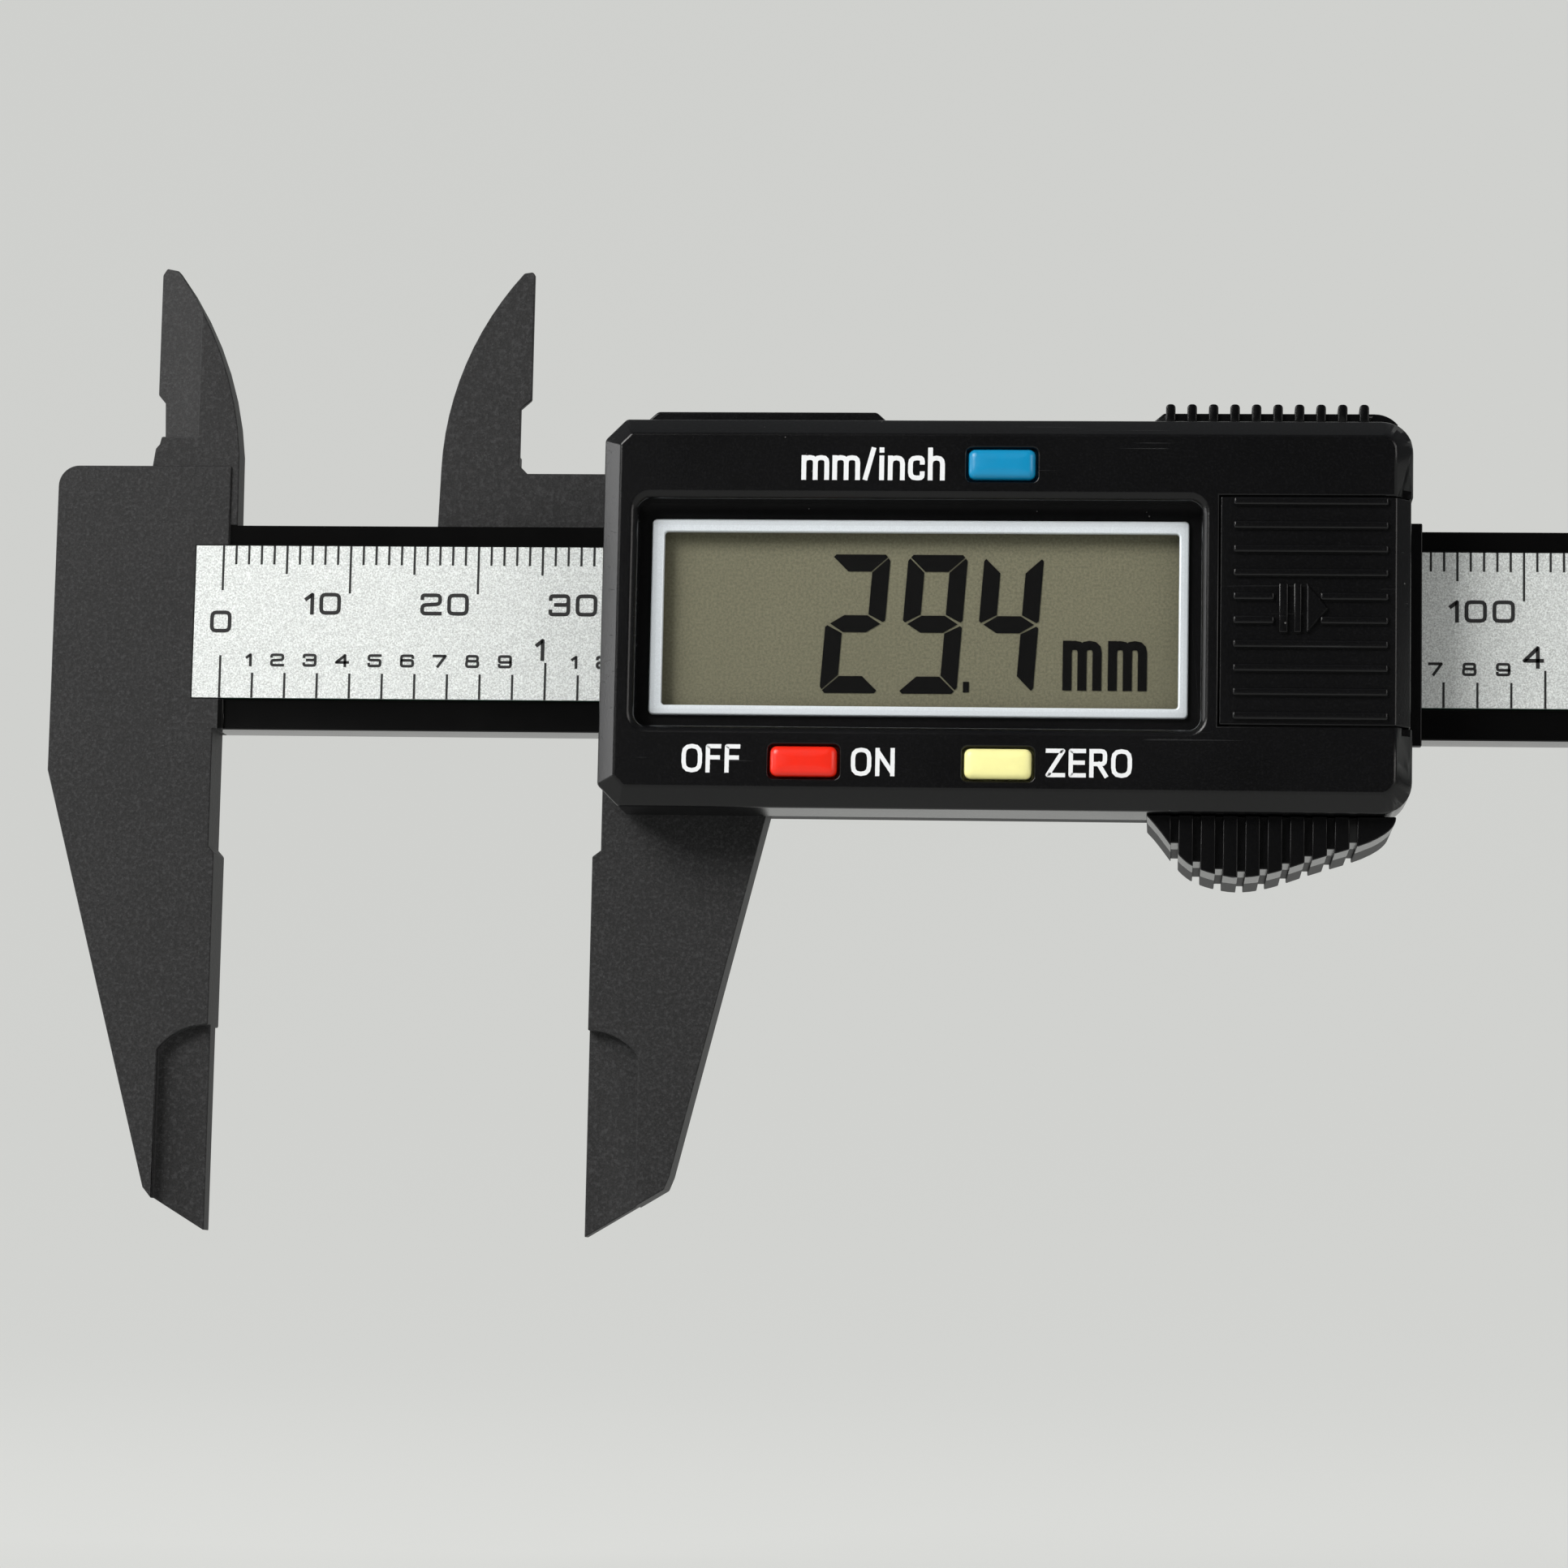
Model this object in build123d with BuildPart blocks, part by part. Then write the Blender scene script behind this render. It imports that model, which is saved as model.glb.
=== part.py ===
from build123d import *
import os

os.makedirs("parts", exist_ok=True)

# Digital caliper, 150 mm range, in millimetres.
# X runs along the beam from the measuring face of the fixed outside jaw, Z points up to the
# inside jaws and Y points from the display (negative) to the back (positive).
# Z = 0 is the middle of the beam, Y = 0 is the middle of its thickness.

# ---------------------------------------------------------------- driving sizes
reading = 29.4                     # gap between the outside jaws as drawn

beam_end = 221.0                   # free end of the beam
beam_half_height = 8.0
beam_back = 2.0                    # back face of beam, head and jaws
head_front = -2.0                  # front face of head and outside jaws
rail_front = -1.7                  # front face of the two running rails
head_left = -13.3
head_top = 12.65
head_right = 0.35
head_corner = 1.6

strip_low = -5.6                   # printed scale: lower and upper edge
strip_high = 6.4
strip_left = -2.2
strip_right = 218.5
strip_floor = -1.5                 # floor of the shallow bed under the scale
stator_thickness = 0.35
scale_thickness = 0.2

jaw_tip_z = -46.6                  # tips of the outside jaws
jaw_relief_z = -17.6               # the measuring faces start below this height
jaw_relief = 0.45
blade_half = 0.95                  # half thickness of the thinned blades at the tips
blade_width = 3.9
blade_top = -30.9
blade_arc = 4.9

inner_face = -6.0                  # measuring face of the fixed inside jaw
inner_tip_z = 28.7
inner_layer_front = -1.8           # the fixed inside jaw is the front layer
inner_layer_back = 0.5
arm_front = 0.7                    # the moving inside jaw and its arm are the back layer
arm_back = 2.15

rod_half_width = 1.6               # depth rod and the groove it lies in
rod_front = 0.4
rod_back = 1.75
groove_clearance = 0.15
rod_left = 62.0

housing_left = reading + 1.1       # electronics housing
housing_right = reading + 61.9
housing_low = -14.45
housing_high = 15.1
housing_front = -10.2
housing_rear = -3.0
housing_wall = 1.4
housing_bevel = 1.35
cut_corner = 1.6                   # cut corners at the jaw end
round_corner = 2.4                 # round corners at the free end
land_foot = (33.6, 51.85)          # raised land along the top edge near the jaws
land_top = (34.4, 51.05)
land_height = 0.72

frame_inset = 0.15
frame_low = -14.0                  # underside of the slider body, a step above the housing's
frame_rear = 3.0
cover_rear = 4.4
channel_half = 8.12                # running fit of the slider on the beam
channel_back = 2.15

recess_x = (33.25, 75.6)           # sunk field around the display
recess_z = (-8.4, 8.85)
recess_floor = -7.6
recess_chamfer = 0.45
bezel_x = (34.15, 74.7)
bezel_z = (-7.35, 7.58)
bezel_inside_x = (35.1, 73.95)
bezel_inside_z = (-6.6, 6.63)

lcd_front = -6.6
lcd_back = -5.0
board_front = -4.0
board_back = -3.1

button_size = (5.0, 2.25)
button_gap = 0.15
button_front = -10.75
button_travel = 0.5
buttons = {
    "button_unit": (60.65, 11.45),
    "button_power": (46.15, -11.1),
    "button_zero": (60.65, -11.15),
}

lid_x = (77.0, 91.15)              # sliding battery lid
lid_z = (-8.05, 9.1)
lid_back = -9.1
lid_rib_pitch = 1.79
lid_rib_count = 10
lid_rib_half = 0.3
lid_rib_height = 0.35
lid_rib_x = (77.97, 89.4)
arrow_bars = [(81.35, 82.0), (82.45, 83.0)]
arrow_head = (83.4, 85.0)
arrow_half = 1.85

cell_radius = 5.8                  # button cell and its pocket
cell_x = 83.6
cell_z = 0.5
cell_front = -9.0
cell_back = -3.6

case_screws_at = [(x, z) for x in (34.4, 87.9) for z in (-11.3, 11.4)]
board_screws_at = [(x, z) for x in (38.9, 72.5) for z in (-11.4, 11.4)]
stop_screws_at = [(217.5, -4.3), (217.5, 4.3)]
rod_screws_at = [(64.6, 0), (69.4, 0)]

grip_left = 71.7                   # ribbed grips above and below the housing
grip_right = housing_right - frame_inset
grip_end = grip_right - 0.9
grip_front = -7.6
grip_top = 16.0
grip_seat = 0.06                   # air between the grips and the housing
tooth_height = 0.65
tooth_width = 0.72
tooth_pitch = 1.61
tooth_count = 10
tooth_first = 73.2
lobe_outline = [                   # thumb rest: X and how far it reaches below the housing
    (71.7, 0.1),
    (73.2, 1.9),
    (74.9, 3.7),
    (76.5, 4.35),
    (78.3, 4.65),
    (79.9, 4.55),
    (81.6, 4.15),
    (83.2, 3.6),
    (85.0, 3.0),
    (87.1, 2.35),
    (88.6, 1.75),
    (89.5, 1.2),
    (90.05, 0.6),
    (90.2, 0.1),
]
groove_width = 0.55
groove_depth = 0.45
groove_pitch = 1.655
groove_count = 9
groove_first = 73.8


# ---------------------------------------------------------------- helpers
def facing(y):
    """A sketch plane at depth y that reads X to the right and Z upwards from the display side."""
    return Plane.XZ.offset(-y)


def slab(x_span, z_span, y_span, corner=0.0, mode=Mode.ADD):
    """A block between two X, two Z and two Y values, with its corners rounded in front view."""
    width = x_span[1] - x_span[0]
    height = z_span[1] - z_span[0]
    with BuildSketch(facing(y_span[0])) as outline:
        with Locations((sum(x_span) / 2, sum(z_span) / 2)):
            if corner:
                RectangleRounded(width, height, corner)
            else:
                Rectangle(width, height)
    extrude(outline.sketch, amount=y_span[0] - y_span[1], mode=mode)


def pins(places, radius, y_span, mode=Mode.ADD):
    """Round pins, or holes, along Y at the given X, Z places."""
    with BuildSketch(facing(y_span[0])) as outline:
        with Locations(*places):
            Circle(radius)
    extrude(outline.sketch, amount=y_span[0] - y_span[1], mode=mode)


def plate(outline, y_span, mode=Mode.ADD):
    """A finished outline drawn at the front face, given its thickness towards the back."""
    extrude(outline.sketch, amount=y_span[0] - y_span[1], mode=mode)


def screw_set(places, head_radius, head_span, shank_radius, shank_end, slot=0.5):
    """Pan head screws driven from the back: round head, shank towards the front, cross slot."""
    pins(places, head_radius, head_span)
    pins(places, shank_radius, (shank_end, head_span[0]))
    reach = head_radius * 0.65
    for x, z in places:
        depth = (head_span[1] - slot, head_span[1])
        slab((x - reach, x + reach), (z - 0.18, z + 0.18), depth, mode=Mode.SUBTRACT)
        slab((x - 0.18, x + 0.18), (z - reach, z + reach), depth, mode=Mode.SUBTRACT)


def blade_outline(face_x, side):
    """The thinned blade of an outside jaw: side is -1 left of the face, +1 right of it."""
    far_x = face_x + side * blade_width
    drop = blade_arc - (blade_arc**2 - blade_width**2) ** 0.5
    half = blade_width / 2
    half_drop = blade_arc - (blade_arc**2 - half**2) ** 0.5
    with BuildSketch(facing(head_front)) as outline:
        with BuildLine():
            ThreePointArc(
                (face_x, blade_top),
                (face_x + side * half, blade_top - half_drop),
                (far_x, blade_top - drop),
            )
            Polyline(
                (far_x, blade_top - drop),
                (far_x, jaw_tip_z - 1),
                (face_x - side, jaw_tip_z - 1),
                (face_x - side, blade_top),
                (face_x, blade_top),
            )
        make_face()
    return outline


def lobe_drop(x):
    """How far the thumb rest reaches below the housing at x."""
    for (x_a, drop_a), (x_b, drop_b) in zip(lobe_outline, lobe_outline[1:]):
        if x <= x_b:
            return drop_a + (drop_b - drop_a) * (x - x_a) / (x_b - x_a)
    return lobe_outline[-1][1]


def land_outline(y):
    """The land along the top edge, with sloping ends, drawn at depth y."""
    with BuildSketch(facing(y)) as outline:
        with BuildLine():
            Polyline(
                (land_foot[0], housing_high - 1),
                (land_foot[0], housing_high),
                (land_top[0], housing_high + land_height),
                (land_top[1], housing_high + land_height),
                (land_foot[1], housing_high),
                (land_foot[1], housing_high - 1),
                close=True,
            )
        make_face()
        top = outline.vertices().group_by(Axis.Z)[-1]
        fillet(top, 0.5)
    return outline


def save(builder, name):
    """Label a finished piece and write it as its own file."""
    builder.part.label = name
    export_step(builder.part, f"parts/{name}.step")


# ---------------------------------------------------------------- beam, head and fixed jaws
rod_bed = rod_half_width + groove_clearance
with BuildPart() as main_beam:
    slab((-1, beam_end), (-beam_half_height, beam_half_height), (rail_front, beam_back))
    # Head and fixed outside jaw, in one thickness with the beam.
    with BuildSketch(facing(head_front)):
        with BuildLine():
            Polyline(
                (head_left, beam_half_height),
                (head_left, -11.3),
                (-4.66, -43.4),
                (-4.0, -44.2),
                (0, jaw_tip_z),
                (0, jaw_relief_z),
                (-jaw_relief, jaw_relief_z + 0.5),
                (-jaw_relief, -beam_half_height),
                (head_right, -beam_half_height),
                (head_right, beam_half_height),
                close=True,
            )
        make_face()
    extrude(amount=head_front - beam_back)
    # Upper part of the head, only in the front layer, so that the arm passes behind it.
    with BuildSketch(facing(head_front)) as crown:
        with BuildLine():
            Line((head_right, beam_half_height), (head_right, head_top))
            Line((head_right, head_top), (head_left + head_corner, head_top))
            RadiusArc(
                (head_left + head_corner, head_top),
                (head_left, head_top - head_corner),
                -head_corner,
            )
            Polyline(
                (head_left, head_top - head_corner),
                (head_left, beam_half_height),
                (head_right, beam_half_height),
            )
        make_face()
    plate(crown, (head_front, inner_layer_back))
    # Fixed inside jaw, set back a little from the face of the head.
    with BuildSketch(facing(inner_layer_front)) as inside_jaw:
        with BuildLine():
            ThreePointArc((-4.65, inner_tip_z - 0.25), (-0.65, 21.1), (0.9, 13.7))
            Polyline(
                (0.9, 13.7),
                (0.95, beam_half_height),
                (-5.95, beam_half_height),
                (-5.95, head_top),
                (-5.75, 14.05),
                (-5.45, 14.4),
                (-5.3, 15.0),
                (-5.4, 17.9),
                (inner_face, 18.6),
                (inner_face, inner_tip_z - 0.5),
                (-5.65, inner_tip_z),
                (-4.65, inner_tip_z - 0.25),
            )
        make_face()
    plate(inside_jaw, (inner_layer_front, inner_layer_back))
    # Its knife edge: a wedge taken from the front, thinnest at the measuring face.
    with BuildSketch(Plane.XY.offset(15.0)) as wedge:
        with BuildLine():
            Polyline((-2.45, -2.1), (-2.45, -1.3), (-6.4, -0.2), (-6.4, -2.1), close=True)
        make_face()
    extrude(wedge.sketch, amount=inner_tip_z - 13, mode=Mode.SUBTRACT)
    # Thinned blade at the tip of the outside jaw, from both sides.
    fixed_blade = blade_outline(0, -1)
    plate(fixed_blade, (head_front, -blade_half), mode=Mode.SUBTRACT)
    extrude(
        fixed_blade.sketch.moved(Location((0, blade_half - head_front, 0))),
        amount=blade_half - beam_back,
        mode=Mode.SUBTRACT,
    )
    # Bed of the scale in front and groove of the depth rod behind.
    slab(
        (strip_left, strip_right),
        (strip_low, strip_high),
        (head_front, strip_floor),
        mode=Mode.SUBTRACT,
    )
    slab(
        (rod_left - reading - 4, beam_end),
        (-rod_bed, rod_bed),
        (rod_front - groove_clearance, beam_back),
        mode=Mode.SUBTRACT,
    )
    pins(stop_screws_at, 0.83, (-1.1, beam_back), mode=Mode.SUBTRACT)
save(main_beam, "main_beam")

strip_x = (strip_left + 0.05, strip_right - 0.05)
strip_z = (strip_low + 0.05, strip_high - 0.05)
stator_face = strip_floor - stator_thickness
with BuildPart() as stator_strip:
    slab(strip_x, strip_z, (stator_face, strip_floor))
save(stator_strip, "stator_strip")

with BuildPart() as scale_strip:
    slab(strip_x, strip_z, (stator_face - scale_thickness, stator_face))
save(scale_strip, "scale_strip")

stop_back = 2.9
with BuildPart() as end_stop:
    slab((214.2, beam_end), (-6.2, 6.2), (beam_back, stop_back), corner=1)
    pins(stop_screws_at, 0.9, (beam_back, stop_back), mode=Mode.SUBTRACT)
save(end_stop, "end_stop")

with BuildPart() as end_stop_screws:
    screw_set(stop_screws_at, 1.5, (stop_back, stop_back + 0.8), 0.8, -1.0, slot=0.4)
save(end_stop_screws, "end_stop_screws")

# ---------------------------------------------------------------- slider frame
frame_x = (housing_left + frame_inset, housing_right - frame_inset)
grip_floor = housing_low - grip_seat
with BuildPart() as slider_frame:
    # Body around the beam, up to the flat that takes the back cover.
    with BuildSketch(facing(housing_rear)) as body_outline:
        with BuildLine():
            Polyline(
                (frame_x[0] + cut_corner, housing_high - frame_inset),
                (frame_x[0], housing_high - frame_inset - cut_corner),
                (frame_x[0], frame_low + cut_corner),
                (frame_x[0] + cut_corner, frame_low),
                (frame_x[1], frame_low),
                (frame_x[1], housing_high - frame_inset),
                close=True,
            )
        make_face()
        fillet(body_outline.vertices().group_by(Axis.X)[-1], round_corner)
    plate(body_outline, (housing_rear, frame_rear))
    # Raised land along the top near the jaws.
    plate(land_outline(housing_rear), (housing_rear, frame_rear))
    # Moving outside jaw.
    with BuildSketch(facing(head_front)) as outside_jaw:
        with BuildLine():
            Polyline(
                (reading + 0.65, -11),
                (reading + 0.65, jaw_relief_z + 0.5),
                (reading, jaw_relief_z),
                (reading, jaw_tip_z),
                (reading + 6.1, -42.9),
                (reading + 6.5, -41.9),
                (reading + 13.4, -13.9),
                (reading + 13.4, -11),
                close=True,
            )
        make_face()
    plate(outside_jaw, (head_front, beam_back))
    moving_blade = blade_outline(reading, 1)
    plate(moving_blade, (head_front, -blade_half), mode=Mode.SUBTRACT)
    extrude(
        moving_blade.sketch.moved(Location((0, blade_half - head_front, 0))),
        amount=blade_half - beam_back,
        mode=Mode.SUBTRACT,
    )
    # Arm and moving inside jaw, in the back layer.
    with BuildSketch(facing(arm_front)) as inside_arm:
        with BuildLine():
            arm_left = reading - 13.15
            jaw_x = reading + inner_face
            ThreePointArc(
                (arm_left + 0.15, 13.0),
                (arm_left + 2.0, 21.7),
                (jaw_x - 0.85, inner_tip_z - 0.1),
            )
            Polyline(
                (jaw_x - 0.85, inner_tip_z - 0.1),
                (jaw_x - 0.2, inner_tip_z),
                (jaw_x, inner_tip_z - 0.2),
                (jaw_x, 18.5),
                (jaw_x - 0.85, 17.8),
                (jaw_x - 0.85, 13.3),
                (jaw_x - 0.2, head_top),
                (frame_x[0] + 1, head_top),
                (frame_x[0] + 1, channel_half),
                (arm_left, channel_half),
                (arm_left + 0.15, 13.0),
            )
        make_face()
    plate(inside_arm, (arm_front, arm_back))
    with BuildSketch(Plane.XY.offset(14.1)) as back_wedge:
        with BuildLine():
            Polyline(
                (jaw_x - 3.2, arm_back + 0.2),
                (jaw_x - 3.2, arm_back - 0.3),
                (jaw_x + 0.3, arm_front + 0.5),
                (jaw_x + 0.3, arm_back + 0.2),
                close=True,
            )
        make_face()
    extrude(back_wedge.sketch, amount=inner_tip_z - 13, mode=Mode.SUBTRACT)
    # Ribbed thumb rest under the housing.
    first, last = lobe_outline[0], lobe_outline[-1]
    with BuildSketch(facing(grip_front)) as lobe:
        with BuildLine():
            Spline(*[(x, grip_floor - drop) for x, drop in lobe_outline])
            Polyline(
                (last[0], grip_floor - last[1]),
                (last[0], grip_floor),
                (first[0], grip_floor),
                (first[0], grip_floor - first[1]),
            )
        make_face()
    plate(lobe, (grip_front, cover_rear))
    slab((grip_left, grip_right - 1.4), (grip_floor, -12), (housing_rear, frame_rear))
    for i in range(groove_count):
        x = groove_first + i * groove_pitch
        sides = (x - groove_width / 2, x + groove_width / 2)
        floor = grip_floor - lobe_drop(x) + groove_depth
        slab(sides, (-20.5, grip_floor), (grip_front, grip_front + groove_depth), mode=Mode.SUBTRACT)
        slab(sides, (-20.5, floor), (grip_front, cover_rear), mode=Mode.SUBTRACT)
    # Ribbed grip on the top edge.
    with BuildSketch(facing(grip_front + 0.4)) as top_grip:
        with BuildLine():
            Polyline(
                (grip_end, housing_high + grip_seat),
                (grip_left, housing_high + grip_seat),
                (grip_left + 1, grip_top),
                (grip_end - 1.8, grip_top),
            )
            RadiusArc((grip_end - 1.8, grip_top), (grip_end, housing_high + grip_seat), 2.3)
        make_face()
    plate(top_grip, (grip_front + 0.4, cover_rear))
    slab((grip_left, grip_right - 2.2), (12, housing_high + 0.2), (housing_rear, frame_rear))
    for i in range(tooth_count):
        x = tooth_first + i * tooth_pitch
        sides = (x - tooth_width / 2, x + tooth_width / 2)
        tooth_z = (housing_high + grip_seat, grip_top + tooth_height)
        slab(sides, tooth_z, (grip_front, cover_rear), corner=0.3)
    # Running channel for the beam, and the window for the pickup board in front of it.
    slab(
        (housing_left - 1, housing_right + 1),
        (-channel_half, channel_half),
        (housing_rear - 1, channel_back),
        mode=Mode.SUBTRACT,
    )
    # Cross tie over the scale at the free end, standing a little out of the housing.
    tie_x = (housing_right - 1.6, housing_right + 1.0)
    slab(tie_x, (-channel_half - 0.5, channel_half + 0.3), (housing_rear, -2.15))
    # Pocket of the gib spring above the beam.
    slab((42, 82), (channel_half - 0.1, channel_half + 0.55), (-1.5, 1.5), mode=Mode.SUBTRACT)
    # Window for the clamp of the depth rod, screw holes and pockets of the board screws.
    slab((61.6, 72.4), (-2.9, 2.9), (channel_back, frame_rear), mode=Mode.SUBTRACT)
    pins(case_screws_at, 1.1, (housing_rear, frame_rear), mode=Mode.SUBTRACT)
    pins(board_screws_at, 1.6, (housing_rear, -2.1), mode=Mode.SUBTRACT)
save(slider_frame, "slider_frame")

# ---------------------------------------------------------------- back cover
cover_x = (housing_left + 0.3, housing_right - 0.3)
cover_z = (frame_low + 0.2, housing_high - 0.5)
label_x = (43, 81)
label_z = (-7.8, 7.8)
label_depth = 0.15
with BuildPart() as back_cover:
    slab(cover_x, cover_z, (frame_rear, cover_rear), corner=1.8)
    chamfer(back_cover.faces().sort_by(Axis.Y)[-1].edges(), 0.4)
    slab((62, 72), (-2.6, 2.6), (frame_rear, frame_rear + 0.7), mode=Mode.SUBTRACT)
    slab(label_x, label_z, (cover_rear - label_depth, cover_rear), corner=1, mode=Mode.SUBTRACT)
    pins(case_screws_at, 1.1, (frame_rear, cover_rear), mode=Mode.SUBTRACT)
    pins(case_screws_at, 1.9, (3.5, cover_rear), mode=Mode.SUBTRACT)
save(back_cover, "back_cover")

with BuildPart() as back_label:
    inner_x = (label_x[0] + 0.1, label_x[1] - 0.1)
    inner_z = (label_z[0] + 0.1, label_z[1] - 0.1)
    slab(inner_x, inner_z, (cover_rear - label_depth, cover_rear), corner=0.9)
save(back_label, "back_label")

with BuildPart() as case_screws:
    screw_set(case_screws_at, 1.75, (3.5, 4.3), 1.0, -7.6)
save(case_screws, "case_screws")

# ---------------------------------------------------------------- electronics housing
wall_front = housing_front + housing_wall
groove_back = lid_back + 0.08
with BuildPart() as front_housing:
    with BuildSketch(facing(housing_front)) as shell:
        with Locations(((housing_left + housing_right) / 2, (housing_low + housing_high) / 2)):
            Rectangle(housing_right - housing_left, housing_high - housing_low)
        chamfer(shell.vertices().group_by(Axis.X)[0], cut_corner)
        fillet(shell.vertices().group_by(Axis.X)[-1], round_corner)
    plate(shell, (housing_front, housing_rear))
    chamfer(front_housing.faces().sort_by(Axis.Y)[0].edges(), housing_bevel)
    plate(land_outline(-8.2), (-8.2, housing_rear))
    hollow_x = (housing_left + housing_wall, housing_right - housing_wall)
    hollow_z = (housing_low + housing_wall, housing_high - housing_wall)
    slab(hollow_x, hollow_z, (wall_front, housing_rear), corner=1.5, mode=Mode.SUBTRACT)
    # Surround of the sunk display field.
    surround_x = (recess_x[0] - 0.85, recess_x[1] + 0.7)
    surround_z = (recess_z[0] - 0.9, recess_z[1] + 0.9)
    slab(surround_x, surround_z, (wall_front, lcd_front), corner=1)
    # Bosses of the case screws and posts of the board screws.
    pins(case_screws_at, 2.1, (wall_front, housing_rear))
    pins(board_screws_at, 1.3, (wall_front, board_front))
    # Pocket of the button cell: floor, inner end and two sides.
    slab((76.3, 89.9), (-9.6, 10.6), (wall_front - 0.2, housing_rear))
    pins([(cell_x, cell_z)], cell_radius + 0.25, (wall_front - 1, -3.4), mode=Mode.SUBTRACT)
    slab((cell_x, 92), (cell_z - 6.05, cell_z + 6.05), (wall_front - 1, -3.4), mode=Mode.SUBTRACT)
    slab((76, 79.6), (-1.8, 2.8), (-4.2, -3.4), mode=Mode.SUBTRACT)
    slab((77.1, 78.2), (-2.6, 3.6), (wall_front - 1, -3.4), mode=Mode.SUBTRACT)
    # Opening of the lid, its side grooves and the gap at the end that the lid closes.
    lid_gap = 0.1
    opening_x = (lid_x[0] - lid_gap, housing_right + 1)
    opening_z = (lid_z[0] - lid_gap, lid_z[1] + lid_gap)
    slab(opening_x, opening_z, (housing_front - 1, groove_back), mode=Mode.SUBTRACT)
    slab(
        (lid_x[0] + 0.5, housing_right + 1),
        (opening_z[0] - 0.55, opening_z[1] + 0.55),
        (-9.7, groove_back),
        mode=Mode.SUBTRACT,
    )
    slab((89.8, housing_right + 1), opening_z, (lid_back - 0.5, housing_rear), mode=Mode.SUBTRACT)
    # Sunk field, window opening and button openings.
    slab(recess_x, recess_z, (housing_front - 1, recess_floor), corner=0.9, mode=Mode.SUBTRACT)
    # Its edge slopes in from the face.
    with BuildSketch(facing(housing_front)) as slope:
        with Locations((sum(recess_x) / 2, sum(recess_z) / 2)):
            RectangleRounded(
                recess_x[1] - recess_x[0] + 2 * recess_chamfer,
                recess_z[1] - recess_z[0] + 2 * recess_chamfer,
                0.9 + recess_chamfer,
            )
    extrude(slope.sketch, amount=-recess_chamfer - 0.05, taper=45, mode=Mode.SUBTRACT)
    window_x = (bezel_inside_x[0] - 0.35, bezel_inside_x[1] + 0.35)
    slab(window_x, (-7.1, 7.1), (recess_floor - 1, lcd_front), mode=Mode.SUBTRACT)
    hole = (button_size[0] / 2 + button_gap, button_size[1] / 2 + button_gap)
    for x, z in buttons.values():
        hole_x = (x - hole[0], x + hole[0])
        hole_z = (z - hole[1], z + hole[1])
        slab(hole_x, hole_z, (housing_front - 1, wall_front + 1), corner=0.4, mode=Mode.SUBTRACT)
        flange_x = (hole_x[0] - 0.6, hole_x[1] + 0.6)
        flange_z = (hole_z[0] - 0.6, hole_z[1] + 0.6)
        slab(flange_x, flange_z, (wall_front, board_front), mode=Mode.SUBTRACT)
    pins(case_screws_at, 1.03, (-7.8, housing_rear), mode=Mode.SUBTRACT)
    pins(board_screws_at, 0.73, (-7.6, board_front), mode=Mode.SUBTRACT)
save(front_housing, "front_housing")

# ---------------------------------------------------------------- display
with BuildPart() as display_bezel:
    bezel_y = (recess_floor - 0.45, recess_floor)
    slab(bezel_x, bezel_z, bezel_y, corner=0.35)
    slab(bezel_inside_x, bezel_inside_z, bezel_y, corner=0.25, mode=Mode.SUBTRACT)
save(display_bezel, "display_bezel")

with BuildPart() as display_window:
    pane_x = (window_x[0] + 0.05, window_x[1] - 0.05)
    slab(pane_x, (-7.05, 7.05), (recess_floor, lcd_front - 0.2))
save(display_window, "display_window")

lcd_x = (34.7, 74.7)
lcd_half_z = 7.4
with BuildPart() as lcd_cell:
    slab(lcd_x, (-lcd_half_z, lcd_half_z), (lcd_front, lcd_back))
save(lcd_cell, "lcd_cell")

with BuildPart() as lcd_holder:
    slab((33.9, 75.5), (-8.2, 8.2), (lcd_front, board_front), corner=0.5)
    seat_x = (lcd_x[0] - 0.1, lcd_x[1] + 0.1)
    seat_z = (-lcd_half_z - 0.1, lcd_half_z + 0.1)
    slab(seat_x, seat_z, (lcd_front, board_front), mode=Mode.SUBTRACT)
save(lcd_holder, "lcd_holder")

with BuildPart() as zebra_strips:
    for z in (-6.5, 6.5):
        slab((38, 72), (z - 0.6, z + 0.6), (lcd_back, board_front))
save(zebra_strips, "zebra_strips")

# ---------------------------------------------------------------- electronics
with BuildPart() as circuit_board:
    slab((36.8, 76.2), (-12.8, 13.2), (board_front, board_back))
    pins(board_screws_at, 0.8, (board_front, board_back), mode=Mode.SUBTRACT)
save(circuit_board, "circuit_board")

with BuildPart() as controller_chip:
    pins([(55, 0)], 4, (board_front - 0.75, board_front))
    fillet(controller_chip.faces().sort_by(Axis.Y)[0].edges(), 0.5)
save(controller_chip, "controller_chip")

with BuildPart() as pickup_board:
    slab((36, 76), (-7.6, 7.6), (board_back, -2.25))
save(pickup_board, "pickup_board")

with BuildPart() as board_screws:
    screw_set(board_screws_at, 1.35, (board_back, board_back + 0.7), 0.7, -7.4, slot=0.35)
save(board_screws, "board_screws")

pad_front = board_front - 0.6
with BuildPart() as contact_pads:
    for x, z in buttons.values():
        slab((x - 1.8, x + 1.8), (z - 1.1, z + 1.1), (pad_front, board_front), corner=0.5)
save(contact_pads, "contact_pads")

# ---------------------------------------------------------------- battery and its contacts
with BuildPart() as battery_cell:
    pins([(cell_x, cell_z)], cell_radius, (cell_front + 0.6, cell_back))
    fillet(battery_cell.edges().filter_by(GeomType.CIRCLE), 0.4)
    pins([(cell_x, cell_z)], cell_radius - 1.2, (cell_front, cell_front + 0.7))
save(battery_cell, "battery_cell")

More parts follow.
